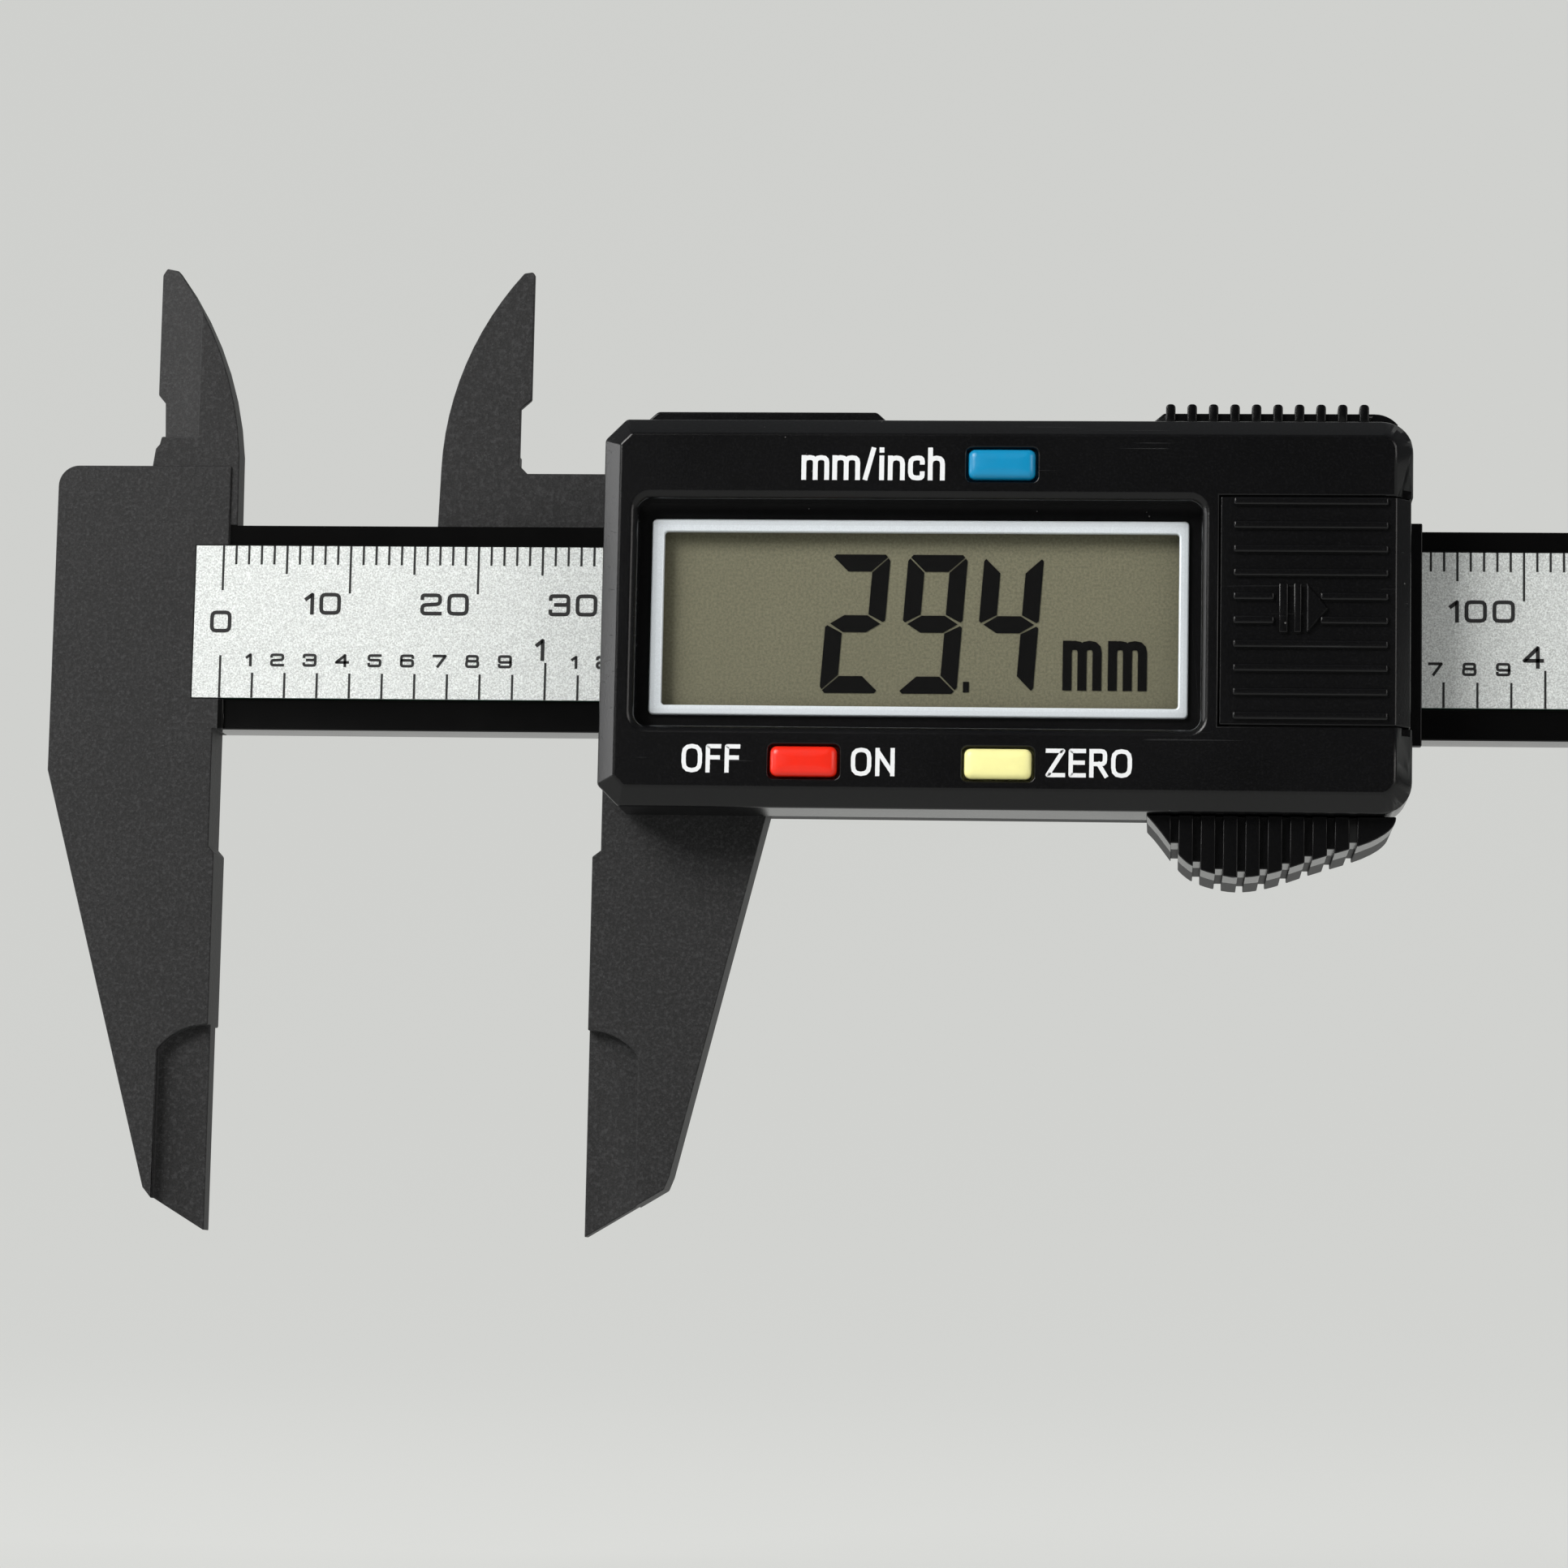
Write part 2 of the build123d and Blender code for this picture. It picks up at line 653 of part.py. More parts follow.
with BuildPart() as contact_negative:
    # Plate under the cell, and a tab that steps over the edge of the board.
    slab((79.8, 87.5), (-2.8, 3.8), (-3.58, -3.42))
    slab((76.25, 80), (-1.0, 1.0), (-3.58, -3.42))
    slab((76.25, 76.41), (-1.0, 1.0), (board_front - 0.2, -3.42))
    slab((75.6, 76.41), (-1.0, 1.0), (board_front - 0.2, board_front))
save(contact_negative, "contact_negative")

with BuildPart() as contact_positive:
    slab((77.2, 77.4), (-2.4, 3.4), (-8.4, -3.7))
save(contact_positive, "contact_positive")

# ---------------------------------------------------------------- battery lid
with BuildPart() as battery_lid:
    slab(lid_x, lid_z, (housing_front, lid_back))
    # End wall that closes the housing, bevelled like the housing beside it.
    slab((90.05, lid_x[1]), lid_z, (housing_front, housing_rear - 0.15))
    front_end = battery_lid.edges().filter_by(Axis.Z).sort_by(Axis.X)[-2:].sort_by(Axis.Y)[0]
    chamfer(front_end, housing_bevel - 0.2)
    slab((lid_x[0] + 0.7, 90.5), (lid_z[0] - 0.5, lid_z[1] + 0.5), (-9.6, lid_back))
    # Grip ribs across the lid: the two middle ones leave room for the arrow.
    rib_y = (housing_front - lid_rib_height, housing_front)
    rib_z = [lid_z[1] - 0.35 - lid_rib_pitch * i for i in range(lid_rib_count)]
    for i, z in enumerate(rib_z):
        spans = [lid_rib_x]
        if i in (4, 5):
            spans = [(lid_rib_x[0], 81.0), (84.4, lid_rib_x[1])]
        for span in spans:
            slab(span, (z - lid_rib_half, z + lid_rib_half), rib_y, corner=0.15)
    # Arrow: two bars and a triangle that point the way the lid slides off.
    arrow_z = (rib_z[4] + rib_z[5]) / 2
    for bar in arrow_bars:
        slab(bar, (arrow_z - arrow_half, arrow_z + arrow_half), rib_y)
    with BuildSketch(facing(rib_y[0])) as head:
        with BuildLine():
            Polyline(
                (arrow_head[0], arrow_z + arrow_half),
                (arrow_head[1], arrow_z),
                (arrow_head[0], arrow_z - arrow_half),
                close=True,
            )
        make_face()
    plate(head, rib_y)
save(battery_lid, "battery_lid")

# ---------------------------------------------------------------- buttons
for name, (x, z) in buttons.items():
    half_x, half_z = button_size[0] / 2, button_size[1] / 2
    with BuildPart() as button:
        slab((x - half_x, x + half_x), (z - half_z, z + half_z), (button_front, -8.2), corner=0.45)
        fillet(button.faces().sort_by(Axis.Y)[0].edges(), 0.35)
        flange_x = (x - half_x - 0.45, x + half_x + 0.45)
        flange_z = (z - half_z - 0.45, z + half_z + 0.45)
        slab(flange_x, flange_z, (wall_front + 0.05, wall_front + 0.75))
        pins([(x, z)], 0.9, (wall_front + 0.5, pad_front - button_travel - 0.05))
    save(button, name)

# ---------------------------------------------------------------- gib spring and depth rod
with BuildPart() as gib_spring:
    with BuildSketch(facing(-1.3)) as leaf:
        with BuildLine():
            ThreePointArc(
                (42.4, channel_half + 0.42),
                (62, channel_half + 0.02),
                (81.6, channel_half + 0.42),
            )
            offset(amount=0.1, side=Side.BOTH)
        make_face()
    plate(leaf, (-1.3, 1.3))
save(gib_spring, "gib_spring")

with BuildPart() as depth_rod:
    slab((rod_left, beam_end + reading), (-rod_half_width, rod_half_width), (rod_front, rod_back))
    # Pointed end with a small relief at one corner.
    slab(
        (beam_end + reading - 3.2, beam_end + reading),
        (rod_half_width - 1.1, rod_half_width),
        (rod_front, rod_back),
        mode=Mode.SUBTRACT,
    )
    pins(rod_screws_at, 0.53, (rod_front, rod_back), mode=Mode.SUBTRACT)
save(depth_rod, "depth_rod")

clamp_back = 2.85
with BuildPart() as rod_clamp:
    slab((62, 72), (-1.5, 1.5), (rod_back, clamp_back))
    slab((61.8, 72.2), (-2.7, 2.7), (channel_back + 0.05, clamp_back), corner=0.4)
    pins(rod_screws_at, 0.6, (rod_back, clamp_back), mode=Mode.SUBTRACT)
save(rod_clamp, "rod_clamp")

with BuildPart() as rod_screws:
    screw_set(rod_screws_at, 1.1, (clamp_back, clamp_back + 0.6), 0.5, rod_front + 0.1, slot=0.3)
save(rod_screws, "rod_screws")
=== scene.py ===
import math

import bmesh
import bpy
from mathutils import Matrix, Vector


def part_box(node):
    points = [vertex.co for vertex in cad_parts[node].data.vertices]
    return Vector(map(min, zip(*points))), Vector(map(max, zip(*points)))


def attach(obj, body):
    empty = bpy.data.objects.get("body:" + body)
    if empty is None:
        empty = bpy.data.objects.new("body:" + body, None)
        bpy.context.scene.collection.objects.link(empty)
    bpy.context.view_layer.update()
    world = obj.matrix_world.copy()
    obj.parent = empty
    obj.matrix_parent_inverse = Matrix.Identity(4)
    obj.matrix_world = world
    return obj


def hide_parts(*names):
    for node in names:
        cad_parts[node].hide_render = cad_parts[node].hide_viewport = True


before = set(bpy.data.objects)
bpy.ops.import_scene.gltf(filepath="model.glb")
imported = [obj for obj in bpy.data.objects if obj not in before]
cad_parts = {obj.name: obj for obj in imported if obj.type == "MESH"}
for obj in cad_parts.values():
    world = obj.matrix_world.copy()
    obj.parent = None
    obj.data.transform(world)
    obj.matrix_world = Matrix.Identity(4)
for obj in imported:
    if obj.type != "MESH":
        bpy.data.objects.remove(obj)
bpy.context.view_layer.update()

bl_info = {
    "name": "Digital Caliper",
    "version": (1, 0, 0),
    "blender": (4, 5, 0),
    "location": "View3D > Sidebar > Caliper",
    "description": "Builds the finished surfaces of a 150 mm digital caliper on its CAD frame",
    "category": "Object",
}

MM = 0.001
INCH = 25.4
# Places in millimetres. The rails start beside the head and reach up and down the beam.
RAIL_START, RAIL_STEP, RAIL_REACH = 0.42, 0.5, 8.04
# What lies in front of this depth on the slider is the black moulding.
BLACK_FROM = -2.6
# Middle and half size of the display frame's flat front; beyond it the frame gets painted shade.
BEZEL_MIDDLE, BEZEL_HALF = (54.45, 0.11), (19.88, 7.02)
# Ends, middle height and half height of the housing inside its outer edges.
HOUSING_ENDS, HOUSING_MIDDLE, HOUSING_HALF = (31.0, 91.2), 0.3, 14.5
# The lid's bottom and top, both ends of its ribs and the ends that leave room for the arrow.
LID_Z, RIB_X, ARROW_ROOM = (-8.05, 9.1), (77.97, 89.4), (81.0, 84.4)
# Half width and half height of a button.
BUTTON_HALF = (2.5, 1.125)


# ---- properties
def length(name, description, millimetres, top=400.0):
    """A length property whose default is given in millimetres."""
    return bpy.props.FloatProperty(
        name=name,
        description=description,
        default=millimetres * MM,
        min=0.0,
        max=top * MM,
        precision=5,
        unit="LENGTH",
        subtype="DISTANCE",
    )


def linear(red, green, blue):
    """An 8 bit screen colour as the linear numbers that shaders use."""
    return tuple(
        c / 255 / 12.92 if c / 255 < 0.04045 else ((c / 255 + 0.055) / 1.055) ** 2.4
        for c in (red, green, blue)
    )


def colour(name, description, *rgb):
    """A colour property whose default is given as an 8 bit screen colour."""
    return bpy.props.FloatVectorProperty(
        name=name,
        description=description,
        default=linear(*rgb),
        min=0.0,
        max=1.0,
        size=3,
        subtype="COLOR",
    )


def count(name, description, number):
    """A whole number property."""
    return bpy.props.IntProperty(name=name, description=description, default=number, min=1)


class ScaleSizes(bpy.types.PropertyGroup):
    """Marks and numerals printed on the scale."""

    mm_marks: count("Millimetre marks", "How many millimetre marks are printed", 151)
    inch_marks: count("Tenth inch marks", "How many tenth inch marks are printed", 62)
    mark_width: length("Mark width", "Width of every printed mark", 0.17)
    ink: length("Ink thickness", "Thickness of the print", 0.02)
    mm_short: length("Millimetre mark", "Length of a plain millimetre mark", 1.46)
    mm_middle: length("Five mark", "Length of every fifth millimetre mark", 2.2)
    mm_long: length("Ten mark", "Length of every tenth millimetre mark", 3.7)
    mm_zero: length("Zero mark", "Length of the millimetre scale's zero mark", 3.5)
    inch_short: length("Tenth mark", "Length of a tenth inch mark", 1.95)
    inch_long: length("Inch mark", "Length of a whole inch mark", 2.9)
    inch_zero: length("Inch zero mark", "Length of the inch scale's zero mark", 3.3)
    numeral: length("Numeral height", "Height of the large numerals", 1.72)
    numeral_stroke: length("Numeral stroke", "Stroke width of the large numerals", 0.29)
    digit: length("Small digit height", "Height of the tenth inch digits", 1.02)
    digit_stroke: length("Small digit stroke", "Stroke width of the tenth inch digits", 0.21)


class MouldingSizes(bpy.types.PropertyGroup):
    """Rounded edges of the moulded parts."""

    jaw_edge: length("Jaw edge", "Edge radius of the beam and the jaws", 0.1)
    housing_edge: length("Housing edge", "Edge radius of the housing", 0.16)
    bezel_edge: length("Bezel edge", "Edge radius of the display frame", 0.16)
    rib_edge: length("Rib edge", "Edge radius of the grip ribs on the lid", 0.16)


class DisplaySizes(bpy.types.PropertyGroup):
    """Digits of the display."""

    digit_height: length("Digit height", "Height of a display digit", 10.6)
    digit_width: length("Digit width", "Width of a display digit", 4.5)
    segment: length("Segment thickness", "Thickness of one segment of a digit", 1.3)
    lean: length("Lean", "How far a digit leans over its height", 0.75)
    gap: length("Segment gap", "Gap between neighbouring segments", 0.15)
    unit_stroke: length("Unit stroke", "Stroke width of the unit shown beside the digits", 0.68)


class LidSizes(bpy.types.PropertyGroup):
    """Ribs and arrow of the battery lid."""

    ribs: count("Ribs", "How many grip ribs cross the lid", 10)
    pitch: length("Rib pitch", "Distance from rib to rib", 1.79)
    width: length("Rib width", "Width of one rib", 0.6)
    height: length("Rib height", "How far a rib stands out", 0.35)


class ButtonSizes(bpy.types.PropertyGroup):
    """Shape of the three buttons."""

    corner: length("Corner", "Corner radius of a button seen from the front", 0.5)
    crown: length("Crown", "Radius of a button's rounded edge", 0.55)


class FinishColours(bpy.types.PropertyGroup):
    """Colours of the finishes."""

    charcoal: colour("Jaw plastic", "Fibre-filled plastic of beam and jaws", 40, 40, 41)
    gloss: colour("Rail plastic", "Glossy black of the running rails", 8, 8, 8)
    black: colour("Housing plastic", "Black of the housing and the grips", 7, 7, 8)
    foil: colour("Scale foil", "Silver of the scale", 226, 230, 229)
    ink: colour("Ink", "Black print of the scale", 30, 30, 31)
    bezel: colour("Display frame", "Silver of the display frame", 236, 243, 249)
    lcd: colour("Display", "Unlit ground of the display", 119, 117, 96)
    segment: colour("Segment", "Lit segments of the display", 4, 4, 4)
    blue: colour("Unit button", "Blue of the unit button", 4, 140, 190)
    red: colour("Power button", "Red of the power button", 244, 38, 14)
    yellow: colour("Zero button", "Pale yellow of the zero button", 255, 250, 172)
    legend: colour("Legend", "White print on the housing", 236, 238, 240)
    floor: colour("Floor", "Floor and backdrop", 226, 227, 224)


class StageSizes(bpy.types.PropertyGroup):
    """Floor, backdrop, camera and lights."""

    floor: length("Floor depth", "How far the floor lies below the beam's middle", 75.0)
    camera: bpy.props.FloatVectorProperty(
        name="Camera place",
        description="Where the camera stands",
        default=(73.5 * MM, -345.8 * MM, -52.2 * MM),
        size=3,
        precision=5,
        unit="LENGTH",
        subtype="TRANSLATION",
    )
    turn: bpy.props.FloatVectorProperty(
        name="Camera turn",
        description="Pitch, roll and yaw of the camera",
        default=tuple(math.radians(a) for a in (6.67, -1.15, 4.90)),
        size=3,
        unit="ROTATION",
        subtype="EULER",
    )
    lens: bpy.props.FloatProperty(
        name="Focal length",
        description="Focal length on a 36 mm wide sensor",
        default=104.35,
        min=10.0,
        unit="CAMERA",
    )


# ---- nodes as sums
class Signal:
    """One output of a node. Sums written with it add Math nodes to its tree."""

    def __init__(self, nodes, socket):
        self.nodes = nodes
        self.socket = socket

    def _math(self, operation, first, second=0.0):
        return self.nodes.node("ShaderNodeMath", {"operation": operation}, {0: first, 1: second})

    def __add__(self, other):
        return self._math("ADD", self, other)

    def __sub__(self, other):
        return self._math("SUBTRACT", self, other)

    def __rsub__(self, other):
        return self._math("SUBTRACT", other, self)

    def __mul__(self, other):
        return self._math("MULTIPLY", self, other)

    def __truediv__(self, other):
        return self._math("DIVIDE", self, other)

    def __mod__(self, other):
        return self._math("FLOORED_MODULO", self, other)

    def __lt__(self, other):
        return self._math("LESS_THAN", self, other)

    def __gt__(self, other):
        return self._math("GREATER_THAN", self, other)

    def __abs__(self):
        return self._math("ABSOLUTE", self)

    __radd__ = __add__
    __rmul__ = __mul__

    def ramp(self, low, high):
        """0 below low, 1 above high, and straight in between."""
        return self.nodes.node(
            "ShaderNodeMapRange", {"clamp": True}, {0: self, 1: low, 2: high, 3: 0.0, 4: 1.0}
        )


class Nodes:
    """Adds nodes to a tree by type, settings and inputs."""

    def __init__(self, tree):
        self.tree = tree

    def feed(self, socket, value):
        """Links a signal to a socket, or sets a plain value on it."""
        if isinstance(value, Signal):
            self.tree.links.new(value.socket, socket)
        elif socket.type == "RGBA" and len(value) == 3:
            socket.default_value = (*value, 1.0)
        else:
            socket.default_value = value

    def node(self, kind, settings=None, inputs=None, output=0):
        """A node of any kind: its settings come first, then its inputs."""
        made = self.tree.nodes.new(kind)
        for key, value in (settings or {}).items():
            setattr(made, key, value)
        for key, value in (inputs or {}).items():
            self.feed(made.inputs[key], value)
        return Signal(self, made.outputs[output])


class Finish(Nodes):
    """A procedural material with its shader and the patterns that the finishes share."""

    def __init__(self, name, **shader):
        self.material = bpy.data.materials.new(name)
        self.material.use_nodes = True
        super().__init__(self.material.node_tree)
        self.shader = self.tree.nodes["Principled BSDF"]
        self.give(**shader)

    def give(self, **shader):
        """Sets or links sockets of the shader: base_color feeds Base Color."""
        plain = {"ior": "IOR", "ior_level": "Specular IOR Level"}
        for key, value in shader.items():
            self.feed(self.shader.inputs[plain.get(key, key.replace("_", " ").title())], value)

    def coords(self, turn=(0, 0, 0), stretch=(1, 1, 1), centre=(0, 0, 0)):
        """Object coordinates, centred, turned and stretched."""
        place = self.node("ShaderNodeTexCoord", output=3)
        return self.node(
            "ShaderNodeMapping",
            {"vector_type": "POINT"},
            {0: place, 1: tuple(-c * MM for c in centre), 2: turn, 3: stretch},
        )

    def axes(self):
        """X, Y and Z of the object coordinates as three signals, in millimetres."""
        place = self.node("ShaderNodeTexCoord", output=3)
        split = self.node("ShaderNodeSeparateXYZ", inputs={0: place})
        parts = split.socket.node.outputs
        return [Signal(self, part) * 1000.0 for part in parts]

    def noise(self, size, detail=2.0, rough=0.5, **coords):
        """Soft noise whose lumps are about size millimetres wide."""
        return self.node(
            "ShaderNodeTexNoise",
            inputs={"Vector": self.coords(**coords), "Scale": 1 / (size * MM),
                    "Detail": detail, "Roughness": rough},
        )

    def flecks(self, spacing, radius, share=1.0, **coords):
        """Round flecks: about one in every cell of the spacing, thinned to a share of them."""
        cell = {"Vector": self.coords(**coords), "Scale": 1 / (spacing * MM), "Randomness": 1.0}
        near = self.node("ShaderNodeTexVoronoi", inputs=cell)
        pick = self.node("ShaderNodeTexVoronoi", inputs=cell, output=1)
        chance = self.node("ShaderNodeSeparateColor", inputs={0: pick})
        return (near < radius / spacing) * (chance < share)

    def scratches(self, turn, share=0.1):
        """Hairlines along one direction: the peaks of a noise drawn out into streaks."""
        streak = self.noise(0.5, 1.0, 0.4, turn=turn, stretch=(0.02, 1.0, 2.4))
        patch = self.noise(7.0, 1.0, 0.5, turn=turn)
        return streak.ramp(0.78 - share, 0.80 - share) * patch.ramp(0.56, 0.62)

    def blend(self, mask, low, high):
        """Colour low where the mask is 0 and colour high where it is 1."""
        return self.node(
            "ShaderNodeMix", {"data_type": "RGBA"}, {0: mask, 6: low, 7: high}, output=2
        )

    def mottled(self, pattern, low, high, base, dark, light):
        """The base colour, made dark where a pattern is low and light where it is high."""
        return self.blend(pattern.ramp(low, high), shade(base, dark), shade(base, light))

    def bump(self, height, depth):
        """Feeds the shader a bump from a height signal and its depth in millimetres."""
        size = {"Strength": 1.0, "Distance": depth * MM, "Height": height}
        self.give(normal=self.node("ShaderNodeBump", inputs=size))


# ---- finishes
def shade(rgb, factor):
    """A colour made lighter or darker."""
    return tuple(min(1.0, c * factor) for c in rgb)


def charcoal_plastic(colours, rails=False):
    """Fibre-filled charcoal plastic with pale flecks; on the beam the rails are glossy black."""
    made = Finish("charcoal_plastic_rails" if rails else "charcoal_plastic", ior_level=0.28)
    base = tuple(colours.charcoal)
    cloud = made.noise(6.0, 3.0)
    grain = made.noise(0.28, 2.0, 0.6)
    tone = made.mottled(cloud, 0.3, 0.7, base, 0.86, 1.12)
    fine = made.noise(0.13, 2.0, 0.7)
    tone = made.blend(fine.ramp(0.42, 0.62), shade(base, 0.5), tone)
    tone = made.blend(grain.ramp(0.5, 0.7) * 0.7, tone, shade(base, 2.1))
    flecks = made.flecks(0.33, 0.055, 0.5) * 0.5
    tone = made.blend(flecks, tone, shade(base, 2.6))
    rough = 0.5 + grain * 0.16
    height = grain * 0.7 + made.noise(0.9, 2.0) * 0.4
    if rails:
        x, _, z = made.axes()
        rail = (x > RAIL_START - (z < 0.0) * RAIL_STEP) * (abs(z) < RAIL_REACH)
        gloss = made.noise(2.5, 3.0)
        tone = made.blend(rail, tone, tuple(colours.gloss))
        rough = rough * (1 - rail) + rail * (0.13 + gloss * 0.06)
        height = height * (1 - rail * 0.93)
    else:
        _, y, _ = made.axes()
        moulded = y < BLACK_FROM
        tone = made.blend(moulded, tone, tuple(colours.black))
        rough = rough * (1 - moulded) + moulded * (0.2 + grain * 0.08)
        height = height * (1 - moulded * 0.8)
    made.give(base_color=tone, roughness=rough)
    made.bump(height, 0.035)
    return made.material


def black_plastic(colours, name="black_plastic", wear=1.0):
    """Semi-gloss black moulding with a faint spark texture, hairlines and a few dust specks."""
    made = Finish(name, ior_level=0.34)
    base = tuple(colours.black)
    texture = made.noise(0.16, 2.0, 0.6)
    cloud = made.noise(11.0, 3.0)
    hairs = made.scratches((0.3, 0.5, 0.2), 0.06) + made.scratches((0.1, -0.9, 0.6), 0.06) * 0.8
    dust = made.flecks(3.1, 0.07, 0.5) + made.flecks(1.7, 0.045, 0.3)
    tone = made.blend(cloud.ramp(0.3, 0.7), base, shade(base, 1.4))
    tone = made.blend(texture.ramp(0.52, 0.72) * 0.6, tone, shade(base, 3.4))
    tone = made.blend(hairs * (0.06 * wear), tone, linear(120, 122, 124))
    tone = made.blend(dust * (0.35 * wear), tone, linear(150, 150, 148))
    rough = 0.19 + cloud * 0.06 + texture * 0.05 + hairs * 0.12
    made.give(base_color=tone, roughness=rough)
    made.bump(texture * 0.6 + hairs * 0.3, 0.012)
    return made.material


def scale_foil(colours):
    """Silver foil with a fine sparkle of lighter and darker grains."""
    made = Finish("scale_foil", ior_level=0.5)
    base = tuple(colours.foil)
    sparkle = made.noise(0.13, 3.0, 0.75)
    blotch = made.noise(0.5, 2.0, 0.5)
    tone = made.mottled(sparkle, 0.38, 0.62, base, 0.68, 1.2)
    tone = made.blend(blotch.ramp(0.4, 0.7) * 0.18, tone, shade(base, 0.78))
    tone = made.blend(made.flecks(0.42, 0.06, 0.4) * 0.5, tone, shade(base, 0.42))
    made.give(base_color=tone, roughness=0.36 + sparkle * 0.2, metallic=0.25 + blotch * 0.15)
    made.bump(sparkle, 0.006)
    return made.material


def ink(colours):
    """Black print, a little thin in places."""
    made = Finish("scale_ink", ior_level=0.35)
    base = tuple(colours.ink)
    thin = made.noise(0.2, 2.0)
    tone = made.blend(thin.ramp(0.55, 0.8) * 0.4, base, shade(base, 2.6))
    made.give(base_color=tone, roughness=0.5 + thin * 0.15)
    made.bump(thin, 0.004)
    return made.material


def bezel_silver(colours):
    """Silver lacquer of the display frame, with painted shade on its outer edges and sides."""
    made = Finish("bezel_silver", ior_level=0.5)
    base = tuple(colours.bezel)
    mica = made.noise(0.09, 2.0, 0.7)
    cloud = made.noise(5.0, 2.0)
    tone = made.mottled(mica, 0.35, 0.7, base, 0.93, 1.06)
    x, _, z = made.axes()
    middle, half = BEZEL_MIDDLE, BEZEL_HALF
    # Painted shade: the frame's outer edges and sides, beyond its flat front, are made darker.
    outer = (abs(z - middle[1]) > half[1]) + (abs(x - middle[0]) > half[0])
    tone = made.blend(outer * 0.4, tone, shade(base, 0.84))
    made.give(base_color=tone, roughness=0.3 + cloud * 0.08, metallic=0.15 + mica * 0.1)
    made.bump(mica, 0.003)
    return made.material


def clear_pane():
    """Clear display window: nearly all of it lets light through, with a dark haze on top."""
    made = Finish("clear_pane", ior=1.49, ior_level=0.2)
    smear = made.noise(9.0, 3.0, 0.55)
    made.give(
        base_color=made.blend(smear, (0.004, 0.005, 0.005), (0.012, 0.013, 0.013)),
        alpha=0.02 + smear * 0.03,
        roughness=0.04 + smear * 0.05,
    )
    made.material.use_transparent_shadow = True
    return made.material


def lcd_ground(colours):
    """Grey-green ground of the display with the fine mottle of its reflector."""
    made = Finish("lcd_ground", ior_level=0.3)
    base = tuple(colours.lcd)
    mottle = made.noise(0.2, 3.0, 0.7)
    cloud = made.noise(12.0, 2.0)
    tone = made.mottled(mottle, 0.38, 0.64, base, 0.82, 1.22)
    tone = made.blend(cloud.ramp(0.35, 0.7) * 0.25, tone, shade(base, 0.9))
    made.give(base_color=tone, roughness=0.42 + mottle * 0.1)
    made.bump(mottle, 0.006)
    return made.material


def lcd_segment(colours):
    """Dark segments of the display."""
    made = Finish("lcd_segment", ior_level=0.12)
    base = tuple(colours.segment)
    mottle = made.noise(0.22, 2.0)
    tone = made.blend(mottle, base, shade(base, 1.9))
    made.give(base_color=tone, roughness=0.4 + mottle * 0.15)
    return made.material


def button_plastic(name, rgb):
    """Glossy coloured plastic, a little darker where fingers have worn it."""
    made = Finish(name, ior_level=0.4, coat_weight=0.15, coat_roughness=0.2)
    haze = made.noise(0.9, 3.0)
    grain = made.noise(0.12, 2.0)
    tone = made.blend(haze.ramp(0.35, 0.75) * 0.35, rgb, shade(rgb, 0.86))
    made.give(base_color=tone, roughness=0.26 + haze * 0.14)
    made.bump(grain, 0.004)
    return made.material


def legend_print(colours):
    """White pad print with slightly broken cover."""
    made = Finish("legend_print", ior_level=0.4)
    base = tuple(colours.legend)
    cover = made.noise(0.14, 2.0, 0.6)
    tone = made.blend(cover.ramp(0.52, 0.8) * 0.35, base, shade(base, 0.72))
    made.give(base_color=tone, roughness=0.5 + cover * 0.1)
    return made.material


def steel(name="steel", tint=(0.46, 0.47, 0.49), rough=0.28):
    """Turned or rolled steel with fine drawing lines."""
    made = Finish(name, ior_level=0.5)
    lines = made.noise(0.3, 2.0, 0.6, stretch=(0.06, 1.0, 1.0))
    stain = made.noise(3.0, 3.0)
    tone = made.mottled(lines, 0.35, 0.7, tint, 0.85, 1.12)
    rough = rough + lines * 0.12 + stain * 0.06
    made.give(base_color=tone, roughness=rough, metallic=0.9 + stain * 0.1)
    made.bump(lines, 0.004)
    return made.material


def grained(name, rgb, rough, size=0.3, contrast=0.2, level=0.5):
    """A plain material with grain in its colour, gloss and surface."""
    made = Finish(name, ior_level=level)
    grain = made.noise(size, 3.0, 0.6)
    cloud = made.noise(size * 14, 2.0)
    tone = made.mottled(grain, 0.3, 0.7, rgb, 1 - contrast, 1 + contrast)
    tone = made.blend(cloud.ramp(0.35, 0.7) * 0.3, tone, shade(rgb, 1 - contrast))
    made.give(base_color=tone, roughness=rough + grain * 0.12)
    made.bump(grain, 0.012)
    return made.material


def stage_paper(colours):
    """Matt pale paper of the floor and backdrop, with a faint glow that grows towards the back."""
    made = Finish("stage_paper", ior_level=0.1)
    base = tuple(colours.floor)
    tooth = made.noise(1.2, 3.0, 0.6)
    cloud = made.noise(700.0, 2.0)
    tone = made.mottled(cloud, 0.25, 0.75, base, 0.2, 0.21)
    _, y, _ = made.axes()
    glow = made.mottled(y, -260.0, 90.0, base, 0.5, 0.76)
    made.give(base_color=tone, roughness=0.88 + tooth * 0.08, emission_color=glow)
    made.give(emission_strength=1.0)
    return made.material


# ---- meshes
def new_object(name, mesh):
    """An object at the origin, linked to the scene."""
    piece = bpy.data.objects.new(name, mesh)
    bpy.context.scene.collection.objects.link(piece)
    return piece


def mesh_of(name, bm):
    """Turns a bmesh into an object."""
    mesh = bpy.data.meshes.new(name)
    bm.to_mesh(mesh)
    bm.free()
    return new_object(name, mesh)


def baked(piece):
    """Replaces the piece's mesh with what its modifiers make of it, and removes them."""
    graph = bpy.context.evaluated_depsgraph_get()
    mesh = bpy.data.meshes.new_from_object(piece.evaluated_get(graph), depsgraph=graph)
    piece.modifiers.clear()
    piece.data = mesh
    return piece


